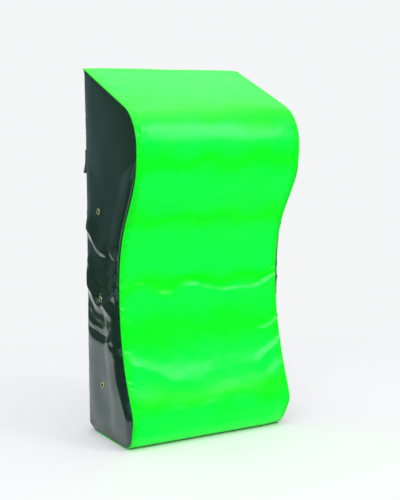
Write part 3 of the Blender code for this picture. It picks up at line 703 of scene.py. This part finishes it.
def make_front_cover():
    path, outward, run = face_outline()
    columns = spaced(-HALF_WIDTH, HALF_WIDTH, *FACE_COLUMNS)
    x, s = np.meshgrid(columns, run)
    depth, height = (columns_of(values, len(columns)) for values in path.T)
    out_depth, out_height = (columns_of(values, len(columns)) for values in outward.T)
    side = HALF_WIDTH - np.abs(x)
    end = np.minimum(s, run[-1] - s)
    crown = FACE_CROWN * crown_share((x + HALF_WIDTH) / (2 * HALF_WIDTH))
    crown *= smooth(height / CROWN_EASE) * smooth((HEIGHT - height) / CROWN_EASE)
    stands = smooth((height - 0.002) / 0.075)
    wander = 0.006 * soft_noise(x, s, 0.09, 3)
    rise = stands * face_relief(x, s, side, crown, wander)
    rise -= roll(side, 0.0040, 0.0020) * (0.35 + 0.65 * stands) + roll(end, 0.004, 0.0022)
    depth = depth + lean(x, height) * np.clip(out_depth, 0, 1)
    points = soften_corners(np.stack([x, BACK_Y - depth - rise * out_depth, height + rise * out_height], -1))
    # painted dim reflection bands across the front, at the listed heights
    warm = np.zeros_like(x)
    for level, reach, share in PAINTED_DIM_REFLECTION_BANDS:
        warm = np.maximum(warm, share * bell(height + 1.4 * wander, level, reach))
    # its distance to the nearest seam or end sets the painted shade along the seams, the foot and the top
    piece = new_piece(
        "front_cover", points, grid_faces(*x.shape).tolist(), "green_vinyl", np.stack([x, s], -1),
        seam=np.minimum(side, end), warm=warm,
    )
    thicken(piece, COVER)
    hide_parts("front_panel")
    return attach(piece, "shield")


def heel_depth(height):
    reach = HEEL_RADIUS - SEAM_INSET
    drop = np.clip(HEEL_RADIUS - height, 0, None)
    rounded = HEEL_RADIUS - np.sqrt(np.clip(reach * reach - drop * drop, 0, None))
    return np.where(height >= HEEL_RADIUS, SEAM_INSET, rounded)


# Gussets: their columns, the places of the waist and the shoulder up them, and the hole under each eyelet
GUSSET_COLUMNS = 104
GUSSET_WAIST, GUSSET_SHOULDER = (0.36, 0.15), (0.74, 0.05)
VENT_HOLE, VENT_GIVE = 0.0056, 0.012


def gusset_stuffing(side, front, back, height, share, seam, hem):
    """How far the foam fills the gusset out: its crown, and the rounded corner along its front edge."""
    belly = smooth((0.38 - height) / 0.10)
    onset = 0.77 + 0.14 * smooth((0.17 - height) / 0.13)
    fall = 1 - (np.clip(share - onset, 0, 1) / (1 - onset)) ** 2
    fuller = (1 + 0.42 * smooth((share - 0.5) / 0.2)) * fall
    plain = crown_share(share)
    crown = np.where(share > 0.5, fuller * belly + plain * (1 - belly), plain)
    bulge = GUSSET_CROWN * crown * smooth(height / CROWN_EASE) * np.minimum(front / WAIST_DEPTH, 1.0)
    turn = np.clip(seam / CORNER_REACH, 0, 1)
    corner = CORNER_RISE * np.sqrt(1 - (1 - turn) ** 2) * (1 - 0.3 * smooth((seam - 0.012) / 0.05))
    corner *= smooth(height / 0.045) * np.minimum((front - back) / 0.12, 1.0) ** 2
    if side > 0:
        corner *= 1 - 0.65 * bell(height, 0.56, 0.10)
    corner *= smooth((0.700 - height) / 0.070) * (1 - belly)
    return bulge + (np.maximum(corner, bulge) - bulge) * smooth(hem / 0.05)


def gusset_creases(depth, height, seam, hem, along, folds, shift):
    """Puckers along both edges, the folds, and the slack between them."""
    waist, shoulder = bell(height, *GUSSET_WAIST), bell(height, *GUSSET_SHOULDER)
    pull = 0.00020 + 0.00040 * waist + 0.0007 * shoulder
    reach = 0.009 + 0.008 * waist
    pucker = seam_noise(along + shift + 0.6 * seam, 0.019, 21) * pull * np.exp(-seam / reach)
    pucker += seam_noise(height + shift, 0.034, 22) * (0.0003 + 0.0004 * waist) * np.exp(-hem / 0.018)
    wander = 0.0035 * soft_noise(depth + shift, height, 0.07, 23)
    slack = 0.0005 * soft_noise(depth + shift, height, 0.10, 24)
    slack += 0.00007 * soft_noise(depth, height + shift, 0.030, 25) * (0.3 + waist)
    folded = fold_height(depth + 0.5 * wander, height + wander, folds)
    edge = np.minimum(seam, hem)
    creases = folded * smooth(edge / 0.005) * (0.4 + 0.6 * smooth(hem / 0.024))
    return creases + pucker * smooth(edge / 0.003) + slack * smooth(edge / 0.015)


def beside_vents(depth, height, reach, power):
    """0 at the vents and 1 away from them."""
    share = np.ones_like(depth)
    for at_depth, at_height in VENTS:
        away = np.hypot(depth - at_depth, height - at_height)
        share *= 1 - np.exp(-((away / reach) ** power))
    return share


def spread_round_vents(depth, height):
    """Moves the places near each vent out to the rim of a round hole."""
    for at_depth, at_height in VENTS:
        away = np.hypot(depth - at_depth, height - at_height)
        grown = VENT_HOLE + (VENT_GIVE - VENT_HOLE) * away / VENT_GIVE
        scale = np.where(away < VENT_GIVE, grown / np.maximum(away, 1e-6), 1.0)
        depth = at_depth + (depth - at_depth) * scale
        height = at_height + (height - at_height) * scale
    return depth, height


def without_vents(points, faces):
    """The faces, but for those that close over a vent."""
    flat = points.reshape(-1, 3)
    for at_depth, at_height in VENTS:
        corners = flat[faces]
        a = BACK_Y - corners[:, :, 1] - at_depth
        b = corners[:, :, 2] - at_height
        b_next, a_next = np.roll(b, -1, 1), np.roll(a, -1, 1)
        turn = np.arctan2(a * b_next - b * a_next, a * a_next + b * b_next).sum(1)
        faces = faces[np.abs(turn) < math.pi]
    return faces


def make_gusset(side_name, side, folds, shift):
    path, outward, run = face_outline()
    path = path - SEAM_INSET * outward
    keep = (run > FOOT_DEPTH - HEEL_RADIUS - CLEARANCE) & (path[:, 0] > 0.004)
    path, run = path[keep], run[keep]
    leaning = smooth((path[:, 1] - 0.03) / 0.03), smooth((0.80 - path[:, 1]) / 0.05)
    path[:, 0] += lean(side * HALF_WIDTH, path[:, 1]) * leaning[0] * leaning[1]
    even = np.linspace(0, 1, GUSSET_COLUMNS)
    columns = 0.3 * even + 0.7 * (1 - np.cos(math.pi * even)) / 2
    front, height = (columns_of(values, GUSSET_COLUMNS) for values in path.T)
    back = heel_depth(height)
    share = np.tile(columns, (len(path), 1))
    depth = back + (front - back) * share
    gap, place = nearest_on_path(depth, height, path)
    seam = np.minimum(np.abs(gap), height - path[:, 1].min())
    hem = depth - back
    along = place * (run[-1] - run[0])
    rise = gusset_stuffing(side, front, back, height, share, seam, hem)
    creases = gusset_creases(depth, height, seam, hem, along, folds, shift)
    rise = rise + beside_vents(depth, height, 0.015, 4) * creases
    level = beside_vents(depth, height, 0.034, 2)
    rise += level * flare(height) * (1 - share) ** 3 * smooth(height / FLARE_FOOT)
    rise -= roll(seam, 0.0022, 0.0012) + roll(hem, 0.0050, 0.0030)
    depth, height = spread_round_vents(depth, height)
    points = soften_corners(np.stack([side * (HALF_WIDTH + rise), BACK_Y - depth, height], -1))
    faces = without_vents(points, grid_faces(*depth.shape, flip=side > 0)).tolist()
    uv = np.stack([depth, height], -1)
    piece = new_piece(side_name + "_gusset_cover", points, faces, "black_vinyl", uv, seam=seam)
    thicken(piece, COVER)
    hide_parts(side_name + "_gusset")
    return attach(piece, "shield")


# how far the slot for the zip runs past the chain, and over what length it opens
SLOT_PAST, SLOT_OPENING = 0.008, 0.0035
# the back panels' columns, as shares of their width
BACK_COLUMNS = 0.0022, 0.016, 0.10


def slot_edge(height):
    """Half the gap between the back panels at a height."""
    low, high = ZIP_LOW - SLOT_PAST, ZIP_TOP + SLOT_PAST
    inside = smooth((height - low) / SLOT_OPENING) * smooth((high - height) / SLOT_OPENING)
    return CLEARANCE / 2 + (SLOT_HALF - CLEARANCE / 2) * inside


def make_back_cover(side_name, side):
    heel = arc((HEEL_RADIUS, HEEL_RADIUS), HEEL_RADIUS, -math.pi / 2, -math.pi, 30)
    wall = np.linspace(HEEL_RADIUS, HEIGHT - 0.0027, 20)
    path, _, run = resample(np.vstack([heel, np.c_[0 * wall, wall]]), GRID)
    steps = spaced(0.0, 1.0, *BACK_COLUMNS)
    share, s = np.meshgrid(steps, run)
    gap, depth, height = (columns_of(values, len(steps)) for values in (slot_edge(path[:, 1]), *path.T))
    edge = HALF_WIDTH + flare(height) * smooth(height / FLARE_FOOT)
    x = gap + (edge - gap) * share
    seam = edge - x
    hem = x - gap
    end = np.minimum(s, run[-1] - s)
    calm = smooth((height - 0.05) / 0.05)
    dents = 0.0006 * soft_noise(x * side, height, 0.12, 31) + 0.0002 * soft_noise(x * side, height, 0.04, 32)
    pucker = seam_noise(height + side, 0.022, 33) * 0.0005 * np.exp(-seam / 0.014)
    rise = calm * smooth(hem / 0.03) * (np.minimum(dents, 0.0) + np.minimum(pucker, 0.0) - 0.0002)
    # a folded hem with a stitched edge beside the zip
    rise += 0.0007 * smooth((0.0125 - hem) / 0.0012) * smooth((height - 0.03) / 0.02)
    rise -= roll(seam, 0.0050, 0.0030) + roll(hem, 0.0012, 0.0009) + roll(end, 0.0035, 0.0020)
    out_height = np.where(height < HEEL_RADIUS, (height - HEEL_RADIUS) / HEEL_RADIUS, 0.0)
    out_depth = np.where(height < HEEL_RADIUS, (depth - HEEL_RADIUS) / HEEL_RADIUS, -1.0)
    y, z = BACK_Y - depth - rise * out_depth, height + rise * out_height
    points = soften_corners(np.stack([side * x, y, z], -1))
    piece = new_piece(
        "back_cover_" + side_name, points, grid_faces(*x.shape, flip=side > 0).tolist(), "black_vinyl",
        np.stack([x, height], -1), seam=np.minimum(seam, 0.05),
    )
    thicken(piece, COVER)
    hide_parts("back_panel_" + side_name)
    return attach(piece, "shield")


# Stitches
# length, gap and thickness of a stitch, the rows beside the zip, and how far they stand off the back
STITCH_LENGTH, STITCH_GAP, THREAD_RADIUS = 0.0034, 0.0011, 0.00042
STITCH_ROWS = (("near", 0.0032), ("far", 0.0104))
STITCH_STAND = 0.0007
OUT_OF_BACK = np.array((0.0, 1.0, 0.0))


def stitches(name, path, rings=6, around=7):
    """Thread stitches along a path on the back, each sunk at both ends."""
    lengths = run_lengths(path)
    points, faces = [], []
    for start in np.arange(STITCH_GAP / 2, lengths[-1] - STITCH_LENGTH, STITCH_LENGTH + STITCH_GAP):
        base = len(points)
        for k in range(rings + 1):
            t = k / rings
            at = start + STITCH_LENGTH * t
            centre = np.array([np.interp(at, lengths, values) for values in path.T])
            ahead = np.array([np.interp(at + 1e-4, lengths, values) for values in path.T]) - centre
            ahead /= np.linalg.norm(ahead)
            side = np.cross(ahead, OUT_OF_BACK)
            arch = math.sin(math.pi * t)
            size = THREAD_RADIUS * (0.45 + 0.55 * arch**0.5) if 0 < k < rings else THREAD_RADIUS * 0.3
            centre = centre + OUT_OF_BACK * (THREAD_RADIUS * (1.5 * arch**0.6 - 0.7))
            for j in range(around):
                angle = math.tau * j / around
                points.append(centre + size * (math.cos(angle) * side + math.sin(angle) * OUT_OF_BACK))
        for k in range(rings):
            for j in range(around):
                a, b = base + k * around + j, base + k * around + (j + 1) % around
                faces.append((a, b, b + around, a + around))
        faces.append(tuple(base + j for j in range(around))[::-1])
        faces.append(tuple(base + rings * around + j for j in range(around)))
    piece = new_piece(name, points, faces, "thread")
    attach(piece, "shield")


def make_hem_stitching():
    heights = np.linspace(0.035, HEIGHT - 0.012, 300)
    for side_name, side in SIDES:
        for row, inset in STITCH_ROWS:
            x = side * (slot_edge(heights) + inset)
            path = np.c_[x, np.full_like(x, BACK_Y + STITCH_STAND), heights]
            stitches("zip_hem_stitching_" + side_name + "_" + row, path)


# Straps
STRAP_THICKNESS, STRAP_BOW = 0.0022, 0.004
STRAP_ROWS, STRAP_COLUMNS = 96, 25
# height and width, and for the low and the high edge: how far it stands off the back, how far it flares
# past the seam, the share of the stand that it reaches early, and its handle
STRAPS = {
    "upper": (0.673, 0.058, (0.034, 0.006, 0.72, 0.030), (0.014, -0.010, 0.30, 0.016)),
    "lower": (0.528, 0.050, (0.022, -0.004, 0.35, 0.020), (0.015, -0.010, 0.30, 0.016)),
}
STRAP_ROOT = HALF_WIDTH - 0.003
STRAP_SPAN = HALF_WIDTH - 0.045


def strap_edge(edge, share):
    stand, swing, lift_share, reach = edge
    seat = CLEARANCE + STRAP_THICKNESS / 2
    slope = 2 * STRAP_BOW / STRAP_SPAN
    across = bezier(STRAP_ROOT, STRAP_ROOT + swing, STRAP_SPAN + reach, STRAP_SPAN, share)
    return across, bezier(seat, seat + lift_share * (stand - seat), stand - slope * reach, stand, share)


def strap_surface(name, side):
    """The middle surface of half a strap, from its seam to the middle of the back."""
    height, width, low, high = STRAPS[name]
    v = np.linspace(0, 1, STRAP_COLUMNS)
    lines = []
    for share in np.linspace(0, 1, STRAP_ROWS // 2, endpoint=False):
        (low_x, low_stand), (high_x, high_stand) = strap_edge(low, share), strap_edge(high, share)
        lines.append(np.c_[low_x + (high_x - low_x) * v, low_stand + (high_stand - low_stand) * v])
    for t in np.linspace(0, 1, STRAP_ROWS - STRAP_ROWS // 2):
        across = STRAP_SPAN * (1 - t)
        bow = STRAP_BOW * (1 - (across / STRAP_SPAN) ** 2)
        lines.append(np.c_[np.full_like(v, across), low[0] + (high[0] - low[0]) * v + bow])
    lines = np.array(lines)
    x, stand = lines[:, :, 0], lines[:, :, 1]
    z = np.tile(height + (v - 0.5) * width, (STRAP_ROWS, 1))
    slack = 0.0011 * soft_noise(x * side, z, 0.10, 41) + 0.0012 * np.abs(2 * v - 1) ** 3
    stand = stand + smooth((STRAP_ROOT - x) / 0.05) * slack
    return np.stack([side * x, BACK_Y + stand, z], -1)


def make_strap_half(name, side_name, side):
    height, width = STRAPS[name][:2]
    middle = strap_surface(name, side)
    along, across = np.gradient(middle, axis=0), np.gradient(middle, axis=1)
    normal = np.cross(across, along) * side
    normal /= np.linalg.norm(normal, axis=-1, keepdims=True)
    v = np.linspace(0, 1, STRAP_COLUMNS)
    from_edge = np.minimum(v, 1 - v) * width
    half = 0.5 * STRAP_THICKNESS * np.sqrt(np.clip(1 - np.clip(1 - from_edge / 0.0011, 0, 1) ** 2, 0.06, 1))
    half *= 1 + 0.10 * bell(from_edge, 0.004, 0.0016)
    offset = normal * half[None, :, None]
    ring = np.concatenate([middle + offset, (middle - offset)[:, ::-1]], 1)
    count = ring.shape[1]
    i, j = np.meshgrid(np.arange(STRAP_ROWS - 1), np.arange(count), indexing="ij")
    a, b = (i * count + j).ravel(), (i * count + (j + 1) % count).ravel()
    quads = np.c_[a, b, b + count, a + count]
    first, last = list(range(count)), list(range((STRAP_ROWS - 1) * count, STRAP_ROWS * count))
    faces = quads.tolist() + [first[::-1], last]
    if side < 0:
        faces = quads[:, ::-1].tolist() + [first, last[::-1]]
    lengths = run_lengths(middle[:, STRAP_COLUMNS // 2])
    uv = np.stack([columns_of(lengths, count), np.tile(np.r_[v, v[::-1]] * width, (STRAP_ROWS, 1))], -1)
    piece = new_piece(name + "_strap_" + side_name, ring, faces, "webbing", uv)
    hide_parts(name + "_strap_end_" + side_name, name + "_arm_strap")
    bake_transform(piece)
    return piece


# Eyelets, zip and foam
EYELET_BORE, EYELET_WALL, EYELET_FLANGE, EYELET_DOME = 0.0049, 0.0004, 0.0077, 0.0016
WASHER_TOP = -COVER - CLEARANCE
WASHER_LOW = WASHER_TOP - 0.0006


def turned(name, profile, place, dull, steps=56):
    """A profile turned about an axis, with how dull and how deep in painted shade each of its points is."""
    count = len(profile)
    points, faces = [], []
    for k in range(steps):
        angle = math.tau * k / steps
        for radius, height in profile:
            points.append(place @ Vector((radius * math.cos(angle), radius * math.sin(angle), height)))
    for k in range(steps):
        for j in range(count):
            a, b = k * count + j, k * count + (j + 1) % count
            c, d = ((k + 1) % steps) * count + j, ((k + 1) % steps) * count + (j + 1) % count
            faces.append((a, c, d, b))
    piece = new_piece(name, points, faces, "brass", dull=np.tile(np.float32(dull), steps))
    solid = bmesh.new()
    solid.from_mesh(piece.data)
    bmesh.ops.recalc_face_normals(solid, faces=solid.faces)
    solid.to_mesh(piece.data)
    solid.free()
    return piece


def eyelet_profile():
    """Radius and height round a section of the eyelet, and how dull and how deep in painted shade it is at
    each point.
    """
    bore, wall, flange = EYELET_BORE, EYELET_WALL, EYELET_FLANGE
    barrel, flare_top = bore + wall, WASHER_LOW - CLEARANCE
    profile = [(barrel, CLEARANCE), (flange - 0.0003, CLEARANCE), (flange, CLEARANCE + 0.0002)]
    for s in np.linspace(0, 1, 13):
        arch = math.sin(math.pi * (0.06 + 0.88 * s)) ** 0.7
        profile.append((flange + (bore - flange) * s, CLEARANCE + 0.0003 + (EYELET_DOME - 0.0003) * arch))
    # painted shade: the inner rim, the bore and the flare under it are painted dark
    dull = [0] * (len(profile) - 2) + [0.6, 1] + [1] * 6
    profile += [(bore - 0.0001, CLEARANCE), (bore, flare_top - wall), (barrel + 0.0010, flare_top - wall)]
    profile += [(barrel + 0.0012, flare_top - 0.0003), (barrel + 0.0011, flare_top), (barrel, flare_top)]
    return profile, dull


def washer_profile():
    hole = EYELET_BORE + EYELET_WALL + CLEARANCE
    flange = EYELET_FLANGE
    # the washer is painted half way to shade all over
    return [(flange, WASHER_TOP), (flange, WASHER_LOW), (hole, WASHER_LOW), (hole, WASHER_TOP)], [0.5] * 4


def make_eyelets():
    shapes = (("eyelet", *eyelet_profile()), ("washer", *washer_profile()))
    for side_name, side in SIDES:
        for vent in ("low", "middle", "top"):
            label = side_name + "_" + vent
            low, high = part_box("vent_eyelet_" + label)
            centre = (low + high) / 2
            face = max(abs(low.x), abs(high.x)) - EYELET_DOME - CLEARANCE
            outwards = Matrix.Rotation(side * math.pi / 2, 4, "Y")
            place = Matrix.Translation((side * face, centre.y, centre.z)) @ outwards
            for kind, profile, dull in shapes:
                node = "vent_" + kind + "_" + label
                piece = turned(node + "_turned", profile, place, dull)
                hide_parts(node)
                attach(piece, "shield")


def make_zip():
    for side_name, _ in SIDES:
        low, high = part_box("zip_tape_" + side_name)
        x, z = np.meshgrid(spaced(low.x, high.x, 0.0003, 0.0012, 0.004), np.linspace(low.z, high.z, 360))
        y = np.full_like(x, high.y - 0.0001) + 0.00004 * soft_noise(x, z, 0.012, 51)
        piece = new_piece(
            "zip_tape_cloth_" + side_name, np.stack([x, y, z], -1), grid_faces(*x.shape, flip=True).tolist(),
            "zip_tape", np.stack([x, z], -1),
        )
        thicken(piece, 0.0006)
        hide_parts("zip_tape_" + side_name)
        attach(piece, "shield")
    for node, material, width in (
        ("zip_teeth_left", "zip_plastic", 0.00022),
        ("zip_teeth_right", "zip_plastic", 0.00022),
        ("zip_top_stop_left", "zip_metal", 0.0004),
        ("zip_top_stop_right", "zip_metal", 0.0004),
        ("zip_bottom_stop", "zip_metal", 0.0004),
        ("zip_slider", "zip_metal", 0.0003),
        ("zip_puller", "zip_metal", 0.0004),
    ):
        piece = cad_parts[node]
        for entry in piece.material_slots:
            entry.material = MATERIALS[material]
        bevelled(piece, width)


# the foam's share of the solids' width and depth, and of their height
FOAM_PRESSED, FOAM_SHORT = 0.955, 0.975


def make_foam():
    """Foam with rounded edges, pressed a little smaller than its cover."""
    back, middle = BACK_Y - SEAM_INSET, HEIGHT / 2
    for node, material in (
        ("foam_rear_slab", "firm_foam"),
        ("foam_middle_block", "soft_foam"),
        ("foam_face_layer", "soft_foam"),
    ):
        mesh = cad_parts[node].data.copy()
        piece = linked(node + "_cells", mesh)
        mesh.materials.clear()
        mesh.materials.append(MATERIALS[material])
        weld = bmesh.new()
        weld.from_mesh(mesh)
        bmesh.ops.remove_doubles(weld, verts=weld.verts, dist=1e-5)
        for corner in weld.verts:
            x, y, z = corner.co
            y, z = back - FOAM_PRESSED * (back - y), middle + FOAM_SHORT * (z - middle)
            corner.co = (FOAM_PRESSED * x, y, z)
        weld.to_mesh(mesh)
        weld.free()
        bevelled(piece, 0.0015, 3)
        settle(piece)
        piece.data.shade_smooth()
        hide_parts(node)
        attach(piece, "shield")


# Stage, light and camera
BACKGROUND = (0.905, 0.918, 0.922, 1)
FLOOR_RADIUS, STUDIO_RADIUS = 3.1, 3.3


def stage_mesh(name, shape, *materials):
    mesh = bpy.data.meshes.new(name)
    shape.to_mesh(mesh)
    shape.free()
    for material in materials:
        mesh.materials.append(material)
    return linked(name, mesh)


def make_floor():
    n = material_nodes("floor")
    n.set(Base_Color=(0.80, 0.81, 0.815, 1), Roughness=0.6, Specular_IOR_Level=0.2)
    glow = n.add("Emission", {"Color": BACKGROUND, "Strength": 1.0})
    reach = n.add("VectorMath", {0: n.place()}, operation="LENGTH").outputs["Value"]
    # no glow in the shadow where the shield touches the floor
    place = n.add("SeparateXYZ", {0: n.place()})
    beside = n.math("SUBTRACT", n.math("ABSOLUTE", place.outputs["X"]), HALF_WIDTH)
    before = n.math("SUBTRACT", n.math("ABSOLUTE", place.outputs["Y"]), BACK_Y)
    off = n.math("MAXIMUM", beside, before)
    share = n.math("MULTIPLY", n.remap(off, -0.005, 0.035, 0.0, 1.0), n.remap(reach, 0.25, 1.3, 0.40, 1.0))
    n.show(n.add("MixShader", {0: share, 1: n.shader.outputs[0], 2: glow.outputs[0]}))
    disc = bmesh.new()
    bmesh.ops.create_circle(disc, cap_ends=True, segments=96, radius=FLOOR_RADIUS)
    stage_mesh("floor", disc, n.owner)


# glowing cloths on the floor, seen only in reflections, that paint dark green reflections: one before the
# front, and one from this line to the left edge
FRONT_CLOTH = ((-0.24, -0.15), (-0.24, -3.2), (1.9, -2.6), (3.0, -0.15))
CLOTH_LINE = (
    (-1.15, -3.0), (-1.05, -0.35), (-0.42, 0.12), (-0.72, 0.80), (-0.80, 1.00), (-0.48, 1.50), (-0.60, 3.2)
)
CLOTH_LEFT, CLOTH_HEIGHT = -3.2, 0.0015
# the wall's top in the middle, and how much it drops for each metre to the right
WALL_TOP, WALL_SLANT = 3.0, 0.21


def painted_reflection_wall():
    """A glowing wall, seen only in reflections, that paints them: pale on the left but for the far back,
    slate in the middle, near black on the right and in front.
    """
    n = material_nodes("painted_reflection_surround")
    n.tree.nodes.remove(n.shader)
    place = n.add("SeparateXYZ", {0: n.place()}).outputs
    tone = n.mix(n.remap(place["X"], -2.1, -0.6, 0.0, 1.0), (0.05, 0.125, 0.065, 1), (0.14, 0.20, 0.24, 1))
    tone = n.mix(n.remap(place["X"], 0.2, 1.0, 0.0, 1.0), tone, (0.04, 0.05, 0.05, 1))
    tone = n.mix(n.remap(place["Y"], -0.8, 0.0, 1.0, 0.0), tone, (0.035, 0.08, 0.05, 1))
    left, near = n.remap(place["X"], -1.4, -0.8, 1.0, 0.0), n.remap(place["Y"], 1.3, 1.9, 1.0, 0.0)
    tone = n.mix(n.math("MULTIPLY", left, near), tone, (0.46, 0.68, 0.64, 1))
    return n.show(n.add("Emission", {"Color": tone, "Strength": n.remap(place["Z"], 0.1, 0.6, 1.0, 1.4)}))


def painted_reflection_cloth():
    n = material_nodes("painted_reflection_cloth")
    n.tree.nodes.remove(n.shader)
    # a green glow, seen only in reflections: painted dark green reflections
    weave = n.mix(n.noise(n.place(), 60.0), (0.022, 0.11, 0.05, 1), (0.032, 0.13, 0.06, 1))
    return n.show(n.add("Emission", {"Color": weave, "Strength": 1.0}))


def make_painted_reflection_surround():
    """The glowing studio wall around the floor, and the glowing cloths, which only the gloss of the vinyl
    picks up: painted reflections.
    """
    wall = bmesh.new()
    ring = {"cap_ends": False, "segments": 64, "radius2": STUDIO_RADIUS}
    bmesh.ops.create_cone(wall, radius1=STUDIO_RADIUS, depth=2.0, **ring)
    for corner in wall.verts:
        corner.co.z = 0.0 if corner.co.z < 0 else WALL_TOP - WALL_SLANT * corner.co.x
    bmesh.ops.create_cone(wall, radius1=FLOOR_RADIUS, depth=0.001, **ring)
    cloths = [FRONT_CLOTH]
    for near, far in zip(CLOTH_LINE, CLOTH_LINE[1:]):
        cloths.append((near, far, (CLOTH_LEFT, far[1]), (CLOTH_LEFT, near[1])))
    for corners in cloths:
        wall.faces.new([wall.verts.new((x, y, CLOTH_HEIGHT)) for x, y in corners]).material_index = 1
    surround = stage_mesh("painted_reflection_surround", wall, painted_reflection_wall(), painted_reflection_cloth())
    for kind in ("camera", "diffuse", "transmission", "volume_scatter", "shadow"):
        setattr(surround, "visible_" + kind, False)


def softbox(name, place, size, radiance, aim):
    light = bpy.data.lights.new(name, "AREA")
    light.shape = "RECTANGLE"
    light.size, light.size_y = size
    light.energy = radiance * math.pi * size[0] * size[1]
    lamp = linked(name, light)
    lamp.location = place
    lamp.rotation_euler = (Vector(aim) - Vector(place)).to_track_quat("-Z", "Y").to_euler()


def make_light():
    softbox("overhead_softbox", (0.0, -0.3, 3.2), (3.0, 3.0), 1.4, aim=(0, -0.3, 0))
    softbox("right_softbox", (1.5, -2.45, 2.40), (1.0, 2.1), 7.2, aim=(0, 0, 0.7))
    softbox("left_softbox", (-2.3, -2.2, 2.1), (1.6, 1.6), 4.8, aim=(0, 0, 0.5))
    world = bpy.data.worlds.new("studio")
    bpy.context.scene.world = world
    n = Nodes(world)
    seen = n.tree.nodes["Background"]
    seen.inputs["Color"].default_value = BACKGROUND
    fill = n.add("Background", {"Color": (0.69, 0.70, 0.71, 1)})
    ray = n.add("LightPath").outputs
    mirrored = n.math("MAXIMUM", ray["Is Glossy Ray"], ray["Is Transmission Ray"])
    share = n.math("MAXIMUM", ray["Is Camera Ray"], mirrored)
    n.show(n.add("MixShader", {0: share, 1: fill.outputs[0], 2: seen.outputs[0]}))


def make_camera():
    right, up, forward = (Vector(axis) for axis in camera_axes())
    camera = linked("camera", bpy.data.cameras.new("camera"))
    camera.data.sensor_width = 36.0
    camera.data.lens = CAMERA_FOCAL * camera.data.sensor_width / FRAME_HEIGHT
    camera.data.clip_end = 50.0
    axes = Matrix((right, up, -forward)).transposed().to_4x4()
    camera.matrix_world = Matrix.Translation(CAMERA_PLACE) @ axes
    bpy.context.scene.camera = camera


TURNED_HEIGHT = 0.735

make_camera()
make_front_cover()
side_folds = [(on_side(path), *rest) for path, *rest in SIDE_FOLDS_PIXELS]
# the right side's folds are the left one's, turned about half of this height
turned_folds = [([(d, TURNED_HEIGHT - z) for d, z in path], *rest) for path, *rest in side_folds]
make_gusset("left", -1, side_folds, shift=0.0)
make_gusset("right", 1, turned_folds, shift=4.3)
for side_name, side in SIDES:
    make_back_cover(side_name, side)
    for strap in STRAPS:
        make_strap_half(strap, side_name, side)
make_hem_stitching()
make_eyelets()
make_zip()
make_foam()
make_floor()
make_painted_reflection_surround()
make_light()
bpy.context.scene.view_settings.view_transform = "Standard"
